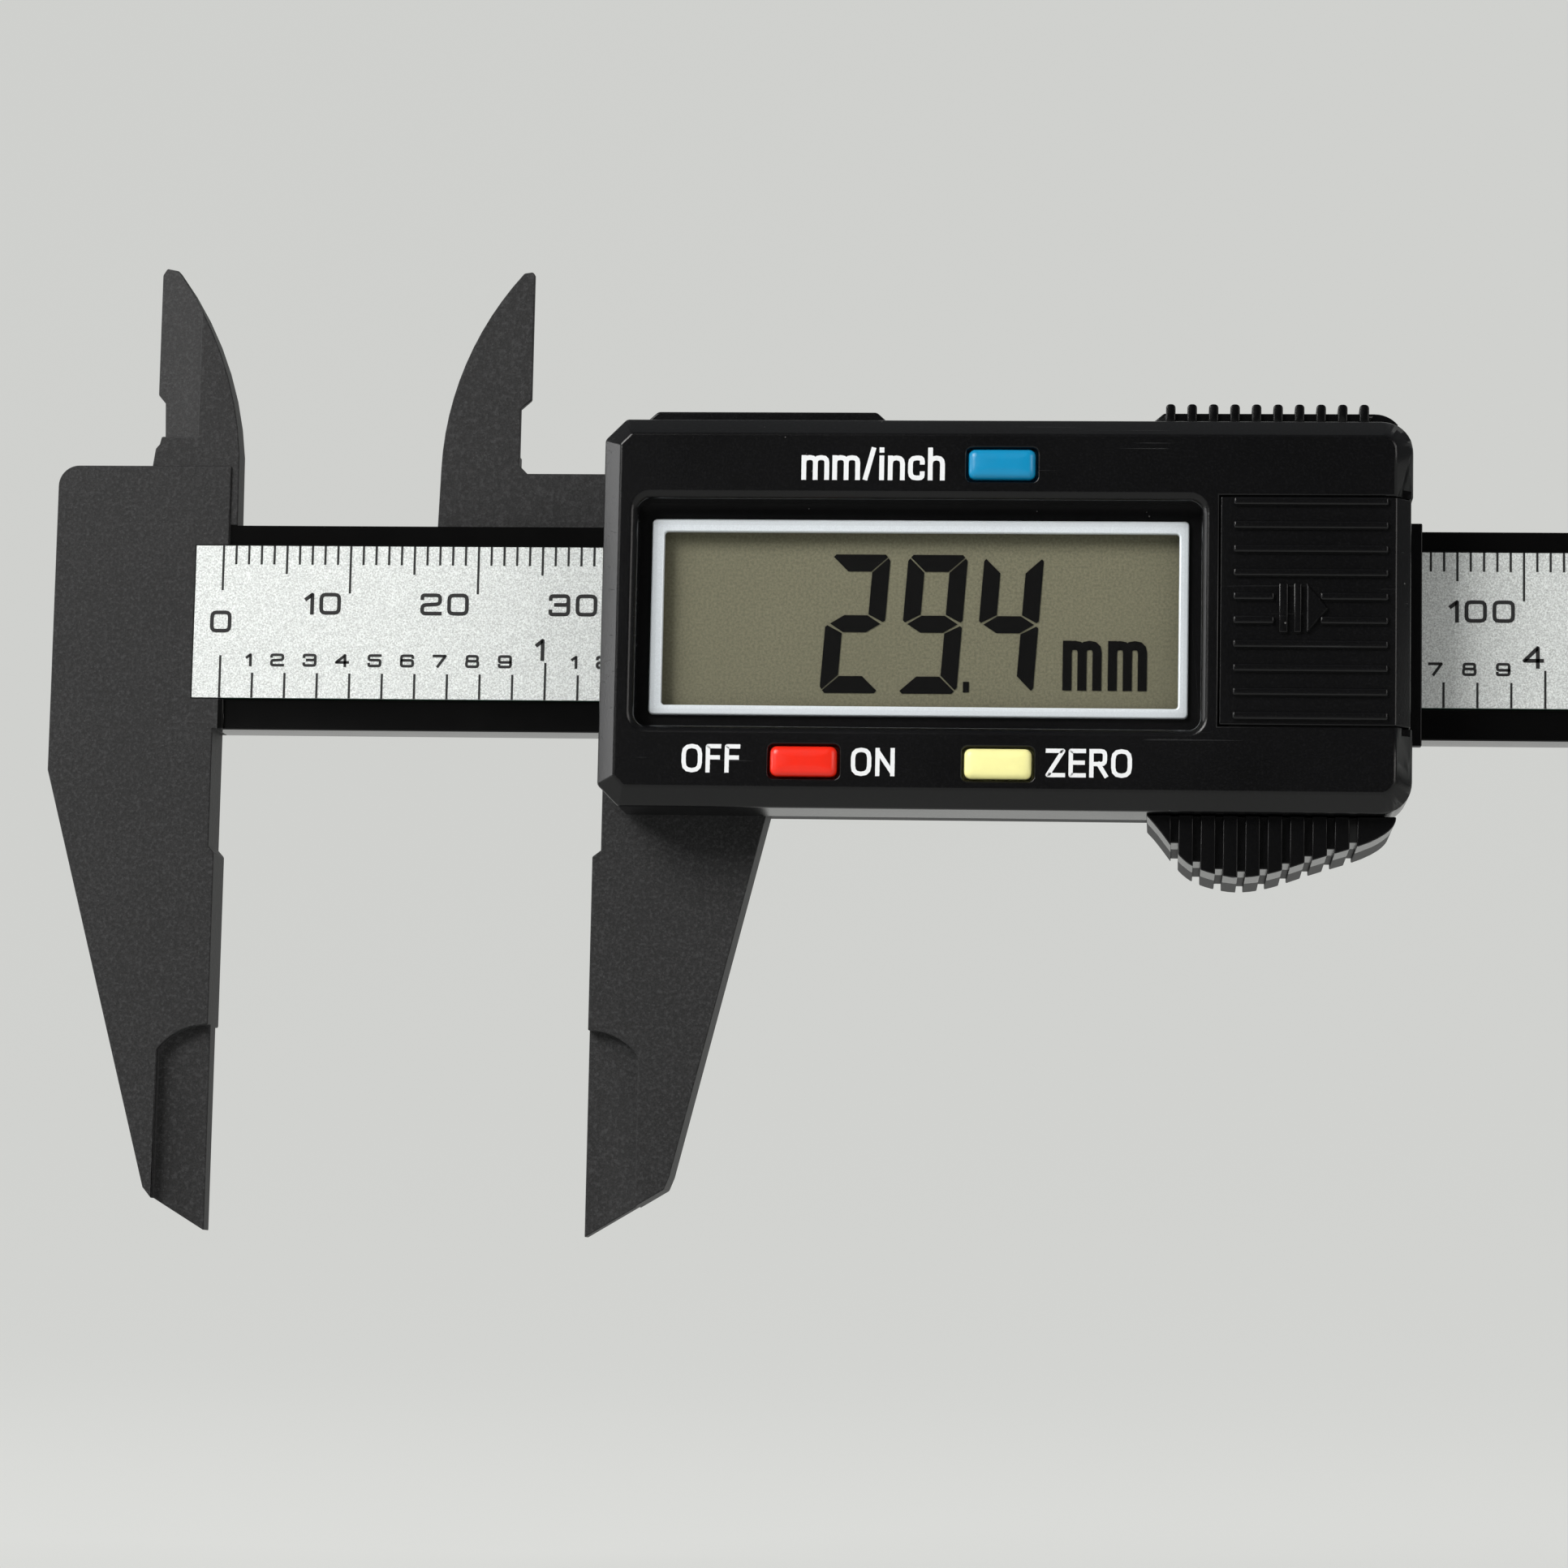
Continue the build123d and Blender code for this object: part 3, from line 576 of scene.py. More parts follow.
def put(piece, body, finish, slot, *nodes):
    """Gives a finished piece its material and its body, and hides the CAD nodes it stands for. The
    slot is not used.
    """
    piece.data.materials.clear()
    piece.data.materials.append(finish)
    if nodes:
        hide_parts(*nodes)
    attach(piece, body)
    return piece


def smooth(mesh, angle=40.0):
    """Smooth faces with sharp edges above an angle."""
    mesh.polygons.foreach_set("use_smooth", [True] * len(mesh.polygons))
    mesh.set_sharp_from_angle(angle=math.radians(angle))


def even_normals(piece):
    """Keeps large flat faces flat beside small rounded edges."""
    smooth(piece.data)
    weights = piece.modifiers.new("Weighted normals", "WEIGHTED_NORMAL")
    weights.keep_sharp = True
    return baked(piece)


def merged_copy(node):
    """A merged copy of a CAD node with its flat faces in one piece."""
    bm = bmesh.new()
    bm.from_mesh(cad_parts[node].data)
    bmesh.ops.remove_doubles(bm, verts=bm.verts, dist=2e-7)
    bmesh.ops.dissolve_limit(bm, angle_limit=math.radians(1.0), verts=bm.verts, edges=bm.edges)
    return bm


def rounded_copy(name, node, radius, wanted=None, segments=2, angle=28.0):
    """A copy of a CAD node with its sharp outer edges rounded."""
    bm = merged_copy(node)
    edges = [
        edge
        for edge in bm.edges
        if len(edge.link_faces) == 2
        and edge.calc_face_angle_signed(0) > math.radians(angle)
        and (wanted is None or all(wanted(*(v.co / MM)) for v in edge.verts))
    ]
    bmesh.ops.bevel(
        bm,
        geom=edges,
        offset=radius,
        segments=segments,
        profile=0.5,
        affect="EDGES",
        clamp_overlap=False,
        loop_slide=True,
    )
    return even_normals(mesh_of(name, bm))


def moulded(name, node, body, slot, finish, radius, **how):
    """A rounded copy of a CAD node that takes the node's place."""
    put(rounded_copy(name, node, radius, **how), body, finish, slot, node)


def add_block(bm, low, high, radius=0.0, segments=2, keep=None):
    """A block between two corners in millimetres, its edges rounded where keep allows."""
    low, high = Vector(low) * MM, Vector(high) * MM
    made = bmesh.ops.create_cube(bm, size=1.0)["verts"]
    for vert in made:
        vert.co = Vector(high[i] if vert.co[i] > 0 else low[i] for i in range(3))
    if radius:
        edges = {e for v in made for e in v.link_edges if keep is None or keep(e)}
        bmesh.ops.bevel(
            bm, geom=list(edges), offset=radius, segments=segments, profile=0.5,
            affect="EDGES", clamp_overlap=True,
        )


def front_edges(y):
    """Picks the edges that touch the plane at depth y, in millimetres."""
    return lambda edge: any(abs(v.co.y / MM - y) < 0.001 for v in edge.verts)


def rounded_rectangle(half_x, half_z, radius, steps=5):
    """Corner points of a rounded rectangle around the origin, anticlockwise, in millimetres."""
    points = []
    for corner, (sx, sz) in enumerate([(1, 1), (-1, 1), (-1, -1), (1, -1)]):
        for step in range(steps + 1):
            angle = math.radians(90 * (corner + step / steps))
            points.append((
                sx * (half_x - radius) + radius * math.cos(angle),
                sz * (half_z - radius) + radius * math.sin(angle),
            ))
    return points


def loft(bm, rings):
    """Closed skin through rings of equal point count, each a list of millimetre points."""
    rows = [[bm.verts.new(Vector(p) * MM) for p in ring] for ring in rings]
    size = len(rows[0])
    for first, second in zip(rows, rows[1:]):
        for i in range(size):
            j = (i + 1) % size
            bm.faces.new((first[i], first[j], second[j], second[i]))
    bm.faces.new(rows[0][::-1])
    bm.faces.new(rows[-1])


def ribbon(bm, path, width, y, thickness, closed=False):
    """A flat stroke of even width along points in X and Z, with mitred corners, in millimetres."""
    size = len(path)
    sides = []
    for i, point in enumerate(path):
        before = path[i - 1] if closed or i else None
        after = path[(i + 1) % size] if closed or i < size - 1 else None
        ahead = Vector(after) - Vector(point) if after else Vector(point) - Vector(before)
        behind = Vector(point) - Vector(before) if before else ahead
        ahead.normalize()
        behind.normalize()
        across = Vector((-ahead.y - behind.y, ahead.x + behind.x)).normalized()
        reach = width / 2 / max(0.35, across.dot(Vector((-ahead.y, ahead.x))))
        sides.append((Vector(point) + across * reach, Vector(point) - across * reach))
    rows = [
        [
            bm.verts.new((a.x * MM, depth * MM, a.y * MM))
            for a, depth in ((left, y), (right, y), (right, y - thickness), (left, y - thickness))
        ]
        for left, right in sides
    ]
    pairs = list(zip(rows, rows[1:]))
    if closed:
        pairs.append((rows[-1], rows[0]))
    else:
        bm.faces.new(rows[0])
        bm.faces.new(rows[-1][::-1])
    for first, second in pairs:
        for i in range(4):
            j = (i + 1) % 4
            bm.faces.new((first[i], second[i], second[j], first[j]))


def outward(bm):
    """Merges doubles and turns every face outwards."""
    bmesh.ops.remove_doubles(bm, verts=bm.verts, dist=1e-8)
    bmesh.ops.recalc_face_normals(bm, faces=bm.faces)


def eased(path, radius, closed=False, steps=3):
    """The same path with its corners rounded."""
    size = len(path)
    result = []
    for i, point in enumerate(path):
        if not closed and i in (0, size - 1):
            result.append(tuple(point))
            continue
        here = Vector(point)
        before, after = Vector(path[i - 1]), Vector(path[(i + 1) % size])
        cut = min(radius, 0.49 * (before - here).length, 0.49 * (after - here).length)
        start = here + (before - here).normalized() * cut
        end = here + (after - here).normalized() * cut
        for step in range(steps + 1):
            share = step / steps
            bend = start * (1 - share) ** 2 + here * 2 * share * (1 - share) + end * share**2
            result.append(tuple(bend))
    return result


# Printed characters: width, corner radius as a share of the height, and strokes in a box one
# unit wide and one unit high. True means a closed stroke. Small letters reach up to SMALL.
SMALL = 0.71
GLYPHS = {
    "0": (1, 0.2, [([(0, 0), (1, 0), (1, 1), (0, 1)], True)]),
    "1": (0.47, 0.02, [([(0.1, 0.76), (1, 1), (1, 0)], False)]),
    "2": (1, 0.16, [([(0, 0.84), (0, 1), (1, 1), (1, 0.52), (0, 0.46), (0, 0), (1, 0)], False)]),
    "3": (1, 0.16, [
        ([(0, 0.84), (0, 1), (1, 1), (1, 0.52), (0.3, 0.52)], False),
        ([(1, 0.52), (1, 0), (0, 0), (0, 0.16)], False),
    ]),
    "4": (1, 0.02, [([(0.76, 0), (0.76, 1), (0, 0.32), (1, 0.32)], False)]),
    "5": (1, 0.16, [
        ([(1, 1), (0, 1), (0, 0.56), (1, 0.56), (1, 0), (0, 0), (0, 0.16)], False),
    ]),
    "6": (1, 0.16, [([(1, 0.84), (1, 1), (0, 1), (0, 0), (1, 0), (1, 0.56), (0, 0.56)], False)]),
    "7": (1, 0.02, [([(0, 1), (1, 1), (0.35, 0)], False)]),
    "8": (1, 0.16, [
        ([(0.04, 0.53), (0.96, 0.53), (0.96, 1), (0.04, 1)], True),
        ([(0, 0), (1, 0), (1, 0.53), (0, 0.53)], True),
    ]),
    "9": (1, 0.16, [([(0, 0.16), (0, 0), (1, 0), (1, 1), (0, 1), (0, 0.44), (1, 0.44)], False)]),
    "O": (0.72, 0.5, [([(0, 0), (1, 0), (1, 1), (0, 1)], True)]),
    "F": (0.54, 0.02, [([(0, 0), (0, 1), (1, 1)], False), ([(0, 0.54), (0.9, 0.54)], False)]),
    "N": (0.68, 0.02, [
        ([(0, 0), (0, 1)], False), ([(1, 0), (1, 1)], False), ([(0.06, 0.9), (0.94, 0.1)], False),
    ]),
    "Z": (0.68, 0.02, [([(0, 1), (1, 1), (0, 0), (1, 0)], False)]),
    "E": (0.6, 0.02, [
        ([(1, 0), (0, 0), (0, 1), (1, 1)], False), ([(0, 0.52), (0.92, 0.52)], False),
    ]),
    "R": (0.64, 0.14, [
        ([(0, 0), (0, 0.98)], False), ([(0, 1), (0.95, 1), (0.95, 0.47), (0, 0.47)], False),
        ([(0.5, 0.47), (1, 0)], False),
    ]),
    "m": (0.835, 0.15, [
        ([(0, 0), (0, SMALL)], False),
        ([(0, 0.3), (0, SMALL), (0.5, SMALL), (0.5, 0)], False),
        ([(0.5, 0.3), (0.5, SMALL), (1, SMALL), (1, 0)], False),
    ]),
    "n": (0.51, 0.18, [
        ([(0, 0), (0, SMALL)], False), ([(0, 0.3), (0, SMALL), (1, SMALL), (1, 0)], False),
    ]),
    "h": (0.51, 0.18, [
        ([(0, 0), (0, 1)], False), ([(0, 0.3), (0, SMALL), (1, SMALL), (1, 0)], False),
    ]),
    "i": (0.18, 0.02, [([(0.5, 0), (0.5, SMALL)], False), ([(0.5, 0.98), (0.5, 1)], False)]),
    "c": (0.5, 0.24, [([(1, 0.56), (1, SMALL), (0, SMALL), (0, 0), (1, 0), (1, 0.15)], False)]),
    "/": (0.37, 0.02, [([(0, 0), (1, 1)], False)]),
}


def printed(bm, text, left, base, unit, height, stroke, gap, y, thickness, right=None):
    """Strokes of a word from its left edge, or up to its right edge, in millimetres."""
    widths = [GLYPHS[letter][0] * unit for letter in text]
    if right is not None:
        left = right - sum(widths) - gap * (len(text) - 1)
    for letter, width in zip(text, widths):
        _, corner, strokes = GLYPHS[letter]
        for order, (points, closed) in enumerate(strokes):
            path = [
                Vector((left + stroke / 2 + x * (width - stroke),
                        base + stroke / 2 + z * (height - stroke)))
                for x, z in points
            ]
            if not closed:
                for end, inner in ((0, 1), (-1, -2)):
                    away = (path[end] - path[inner]).normalized()
                    path[end] = path[end] + away * stroke / 2
            raised = thickness + order * 0.002
            ribbon(bm, eased(path, corner * height, closed), stroke, y, raised, closed)
        left += width + gap


# ---- Geometry Nodes trees
KINDS = {
    "Geometry": "NodeSocketGeometry",
    "Material": "NodeSocketMaterial",
    "Count": "NodeSocketInt",
    "Columns": "NodeSocketInt",
    "Rows": "NodeSocketInt",
}


def open_tree(name, *names):
    """A Geometry Nodes tree with named inputs: returns its node maker and its input signals."""
    tree = bpy.data.node_groups.new(name, "GeometryNodeTree")
    tree.interface.new_socket("Geometry", in_out="OUTPUT", socket_type="NodeSocketGeometry")
    for label in ("Geometry", "Material", *names):
        plain = "NodeSocketVector" if label.endswith("vector") else "NodeSocketFloat"
        kind = KINDS.get(label, plain)
        tree.interface.new_socket(label, in_out="INPUT", socket_type=kind)
    nodes = Nodes(tree)
    entry = tree.nodes.new("NodeGroupInput")
    signals = {o.name: Signal(nodes, o) for o in entry.outputs if o.name}
    return nodes, signals


def close_tree(nodes, instances, material):
    """Ends a tree in Realize Instances and Set Material."""
    real = nodes.node("GeometryNodeRealizeInstances", inputs={0: instances})
    done = nodes.node("GeometryNodeSetMaterial", inputs={"Geometry": real, "Material": material})
    leave = nodes.tree.nodes.new("NodeGroupOutput")
    nodes.feed(leave.inputs[0], done)
    return nodes.tree


def row_of_marks():
    """Printed marks in a row, whose length depends on their number along the scale."""
    nodes, given = open_tree(
        "row_of_marks", "Count", "Start vector", "Pitch", "Width", "Thickness",
        "Plain", "Fifth", "Tenth", "Zero",
    )
    step = nodes.node("ShaderNodeCombineXYZ", inputs={0: given["Pitch"]})
    line = nodes.node(
        "GeometryNodeMeshLine",
        {"mode": "OFFSET"},
        {"Count": given["Count"], "Start Location": given["Start vector"], "Offset": step},
    )
    index = nodes.node("GeometryNodeInputIndex")
    tenth = (index % 10.0) < 0.5
    fifth = ((index % 5.0) < 0.5) - tenth
    first = index < 0.5
    reach = (
        given["Plain"]
        + fifth * (given["Fifth"] - given["Plain"])
        + tenth * (given["Tenth"] - given["Plain"])
        + first * (given["Zero"] - given["Tenth"])
    )
    size = nodes.node(
        "ShaderNodeCombineXYZ", inputs={0: given["Width"], 1: given["Thickness"], 2: reach}
    )
    marks = nodes.node(
        "GeometryNodeInstanceOnPoints",
        inputs={"Points": line, "Instance": given["Geometry"], "Scale": size},
    )
    return close_tree(nodes, marks, given["Material"])


def row_of_copies():
    """Copies of the piece in a row, with some left out in the middle."""
    nodes, given = open_tree(
        "row_of_copies", "Count", "Step vector", "First left out", "Last left out"
    )
    line = nodes.node(
        "GeometryNodeMeshLine", {"mode": "OFFSET"},
        {"Count": given["Count"], "Offset": given["Step vector"]},
    )
    index = nodes.node("GeometryNodeInputIndex")
    out = (index > given["First left out"] - 0.5) * (index < given["Last left out"] + 0.5)
    kept = nodes.node(
        "GeometryNodeInstanceOnPoints",
        inputs={"Points": line, "Selection": out < 0.5, "Instance": given["Geometry"]},
    )
    return close_tree(nodes, kept, given["Material"])


def grid_of_copies():
    """Copies of the piece on the points of a grid in X and Z, each turned a little."""
    nodes, given = open_tree(
        "grid_of_copies", "Columns", "Rows", "Column step", "Row step", "Turn", "Seed"
    )
    index = nodes.node("GeometryNodeInputIndex")
    columns = given["Columns"]
    row = nodes.node("ShaderNodeMath", {"operation": "FLOOR"}, {0: index / columns})
    total = columns * given["Rows"]
    place = nodes.node(
        "ShaderNodeCombineXYZ",
        inputs={0: (index % columns) * given["Column step"], 2: row * given["Row step"]},
    )
    points = nodes.node("GeometryNodePoints", inputs={"Count": total, "Position": place})
    turn = nodes.node(
        "FunctionNodeRandomValue",
        {"data_type": "FLOAT"},
        {2: given["Turn"] * -1.0, 3: given["Turn"], "Seed": given["Seed"]},
        output=1,
    )
    twist = nodes.node("ShaderNodeCombineXYZ", inputs={1: turn})
    copies = nodes.node(
        "GeometryNodeInstanceOnPoints",
        inputs={"Points": points, "Instance": given["Geometry"]},
    )
    turned = nodes.node(
        "GeometryNodeRotateInstances", inputs={"Instances": copies, "Rotation": twist}
    )
    return close_tree(nodes, turned, given["Material"])


def grown(piece, tree, material, **values):
    """Runs a tree on a piece and keeps the result as a plain mesh."""
    modifier = piece.modifiers.new(tree.name, "NODES")
    modifier.node_group = tree
    named = {
        item.name: item.identifier
        for item in tree.interface.items_tree
        if item.item_type == "SOCKET" and item.in_out == "INPUT"
    }
    modifier[named["Material"]] = material
    for label, value in values.items():
        modifier[named[label.replace("_", " ")]] = value
    return baked(piece)


def joined(name, *pieces):
    """One mesh object from several, with their materials dropped."""
    bm = bmesh.new()
    for piece in pieces:
        mesh = piece.data if isinstance(piece, bpy.types.Object) else piece
        bm.from_mesh(mesh)
        if isinstance(piece, bpy.types.Object):
            bpy.data.objects.remove(piece)
    return mesh_of(name, bm)


# ---- beam
class CALIPER_OT_beam(bpy.types.Operator):
    """Beam, head and fixed jaws with softened edges, and the stop at the free end"""

    bl_idname = "caliper.beam"
    bl_label = "Beam and fixed jaws"

    def execute(self, context):
        sizes = context.scene.caliper_mouldings
        colours = context.scene.caliper_colours
        plastic = charcoal_plastic(colours, rails=True)
        moulded("beam_moulding", "main_beam", "beam", "composite", plastic, sizes.jaw_edge)
        stop = steel("stop_steel", rough=0.34)
        moulded("stop_plate", "end_stop", "beam", "steel", stop, 0.12 * MM)
        return {"FINISHED"}


class CALIPER_OT_scale(bpy.types.Operator):
    """Foil scale with its printed marks and numerals"""

    bl_idname = "caliper.scale"
    bl_label = "Printed scale"

    def execute(self, context):
        sizes = context.scene.caliper_scale
        colours = context.scene.caliper_colours
        low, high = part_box("scale_strip")
        face = low.y / MM
        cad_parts["scale_strip"].data.materials.clear()
        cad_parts["scale_strip"].data.materials.append(scale_foil(colours))
        black = ink(colours)
        tree = row_of_marks()
        rows = [
            ("scale_marks_mm", sizes.mm_marks, 1.0, high.z, -0.5,
             (sizes.mm_short, sizes.mm_middle, sizes.mm_long, sizes.mm_zero)),
            ("scale_marks_inch", sizes.inch_marks, INCH / 10, low.z, 0.5,
             (sizes.inch_short, sizes.inch_short, sizes.inch_long, sizes.inch_zero)),
        ]
        for name, amount, pitch, edge, side, reach in rows:
            bm = bmesh.new()
            bmesh.ops.create_cube(bm, size=1.0)
            for vert in bm.verts:
                vert.co.z += side
                vert.co.y -= 0.4
            marks = grown(
                mesh_of(name, bm), tree, black,
                Count=amount, Start_vector=(0.0, low.y, edge), Pitch=pitch * MM,
                Width=sizes.mark_width, Thickness=sizes.ink,
                Plain=reach[0], Fifth=reach[1], Tenth=reach[2], Zero=reach[3],
            )
            put(marks, "beam", black, "scale_foil")
        bm = bmesh.new()
        depth, thick = face + 0.003, sizes.ink / MM
        tall, stroke = sizes.numeral / MM, sizes.numeral_stroke / MM
        small, thin = sizes.digit / MM, sizes.digit_stroke / MM
        base = high.z / MM - sizes.mm_long / MM - tall + 0.05
        small_base = low.z / MM + sizes.inch_short / MM + 0.5
        inch_base = low.z / MM + sizes.inch_long / MM + 0.15

        def number(value, right, base, unit, height, stroke, gap=0.0):
            printed(bm, str(value), 0, base, unit, height, stroke, gap, depth, thick, right=right)

        zero_right, zero_drop = 0.78, 1.45
        unit, gap, from_mark = 1.68, 0.42, 0.68
        number(0, zero_right, base - zero_drop, unit, tall, stroke, gap)
        for ten in range(10, sizes.mm_marks, 10):
            number(ten, ten - from_mark, base, unit, tall, stroke, gap)
        for tenth in range(1, sizes.inch_marks):
            x = tenth * INCH / 10
            if tenth % 10:
                number(tenth % 10, x - 0.06, small_base, 1.1, small, thin)
            else:
                number(tenth // 10, x - 0.1, inch_base, 1.6, tall, stroke)
        outward(bm)
        put(mesh_of("scale_numerals", bm), "beam", black, "scale_foil")
        return {"FINISHED"}


# ---- slider
class CALIPER_OT_slider(bpy.types.Operator):
    """Slider with the moving jaws and grips, its back cover and label"""

    bl_idname = "caliper.slider"
    bl_label = "Slider and moving jaws"

    def execute(self, context):
        sizes = context.scene.caliper_mouldings
        colours = context.scene.caliper_colours
        cover = black_plastic(colours, "cover_plastic", wear=0.8)
        paper = grained("label_foil", linear(196, 198, 198), 0.4, 0.2, 0.06)
        blade = steel("rod_steel", rough=0.24)
        for name, node, slot, finish, radius in (
            ("slider_moulding", "slider_frame", "composite", charcoal_plastic(colours), 0.09 * MM),
            ("rear_cover", "back_cover", "composite", cover, sizes.housing_edge),
            ("rear_label", "back_label", "label", paper, 0.03 * MM),
            ("depth_blade", "depth_rod", "steel", blade, 0.1 * MM),
        ):
            moulded(name, node, "slider", slot, finish, radius)
        return {"FINISHED"}


class CALIPER_OT_housing(bpy.types.Operator):
    """Electronics housing and the words printed beside its buttons"""

    bl_idname = "caliper.housing"
    bl_label = "Electronics housing"

    def execute(self, context):
        sizes = context.scene.caliper_mouldings
        colours = context.scene.caliper_colours
        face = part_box("front_housing")[0].y / MM
        moulded(
            "housing_shell", "front_housing", "slider", "housing_plastic", black_plastic(colours),
            sizes.housing_edge,
            wanted=lambda x, y, z: y < face + 0.5
            or not HOUSING_ENDS[0] <= x <= HOUSING_ENDS[1]
            or abs(z - HOUSING_MIDDLE) > HOUSING_HALF,
        )
        bm = bmesh.new()
        # Each word with its left edge, its base line, its height, its stroke and its gap.
        words = [
            ("mm/inch", 45.57, 10.23, 2.5, 0.36, 0.24),
            ("OFF", 37.0, -12.0, 2.14, 0.32, 0.27),
            ("ON", 49.7, -12.15, 2.12, 0.32, 0.3),
            ("ZERO", 64.2, -12.1, 2.14, 0.32, 0.25),
        ]
        for word, left, base, height, stroke, gap in words:
            printed(bm, word, left, base, height, height, stroke, gap, face + 0.005, 0.025)
        outward(bm)
        legends = mesh_of("legends", bm)
        put(legends, "slider", legend_print(colours), "housing_plastic")
        return {"FINISHED"}


# ---- display
# The reading 29.4: the lit segments and the left edge of each digit, and the point's corners.
READING = (("abged", 46.95), ("abcdfg", 52.8), ("bcfg", 58.55))
POINT = [(57.8, -5.3), (58.25, -5.3), (58.25, -4.5), (57.8, -4.5)]
DIGIT_BASE = -5.43
UNIT_PLACE, UNIT_LETTER, UNIT_HEIGHT, UNIT_GAP = (65.28, -5.1), 3.497, 5.06, 0.48


def segment_points(letter, wide, tall, thick, gap):
    """Outline of one segment of a digit, in a box from the digit's lower left corner."""
    mid, cut = tall / 2, gap / 2
    trim = 0.3
    flat = {
        "a": [
            (thick + cut, tall - thick), (cut + 0.12, tall - 0.2), (cut + trim, tall),
            (wide - cut - trim, tall), (wide - cut - 0.12, tall - 0.2),
            (wide - thick - cut, tall - thick),
        ],
        "g": [
            (0.34, mid), (thick + cut, mid + thick / 2),
            (wide - thick - cut, mid + thick / 2), (wide - 0.34, mid),
            (wide - thick - cut, mid - thick / 2), (thick + cut, mid - thick / 2),
        ],
    }
    if letter == "d":
        return [(x, tall - z) for x, z in flat["a"]]
    if letter in flat:
        return flat[letter]
    side = [
        (0, cut + trim + 0.1), (0, mid - 0.26), (0.16, mid - 0.13),
        (thick, mid - thick / 2 - cut), (thick, thick + cut), (0.14, cut + 0.2),
    ]
    if letter in "fb":
        side = [(x, tall - z) for x, z in side]
    if letter in "bc":
        side = [(wide - x, z) for x, z in side]
    return side


class CALIPER_OT_display(bpy.types.Operator):
    """Display frame, window, ground and lit segments"""

    bl_idname = "caliper.display"
    bl_label = "Display"

    def execute(self, context):
        sizes = context.scene.caliper_display
        colours = context.scene.caliper_colours
        edge = context.scene.caliper_mouldings.bezel_edge
        moulded(
            "display_rim", "display_bezel", "slider", "bezel_silver", bezel_silver(colours), edge,
            wanted=lambda x, y, z: y < -8.0, segments=3,
        )
        moulded(
            "display_pane", "display_window", "slider", "clear_window", clear_pane(), 0.08 * MM
        )
        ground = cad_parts["lcd_cell"]
        ground.data.materials.clear()
        ground.data.materials.append(lcd_ground(colours))
        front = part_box("lcd_cell")[0].y / MM - 0.04
        wide, tall = sizes.digit_width / MM, sizes.digit_height / MM
        thick, lean, gap = sizes.segment / MM, sizes.lean / MM, sizes.gap / MM
        bm = bmesh.new()

        def fill(points):
            rows = [
                [bm.verts.new((x * MM, y * MM, z * MM)) for x, z in points]
                for y in (front, front - 0.02)
            ]
            bm.faces.new(rows[0])
            bm.faces.new(rows[1][::-1])
            for i in range(len(points)):
                j = (i + 1) % len(points)
                bm.faces.new((rows[0][i], rows[0][j], rows[1][j], rows[1][i]))

        for letters, left in READING:
            for letter in letters:
                outline = segment_points(letter, wide, tall, thick, gap)
                fill([(left + x + lean * z / tall, DIGIT_BASE + z) for x, z in outline])
        fill(POINT)
        printed(
            bm, "mm", *UNIT_PLACE, UNIT_LETTER, UNIT_HEIGHT, sizes.unit_stroke / MM, UNIT_GAP,
            front, 0.02,
        )
        outward(bm)
        put(mesh_of("display_segments", bm), "slider", lcd_segment(colours), "lcd")
        return {"FINISHED"}


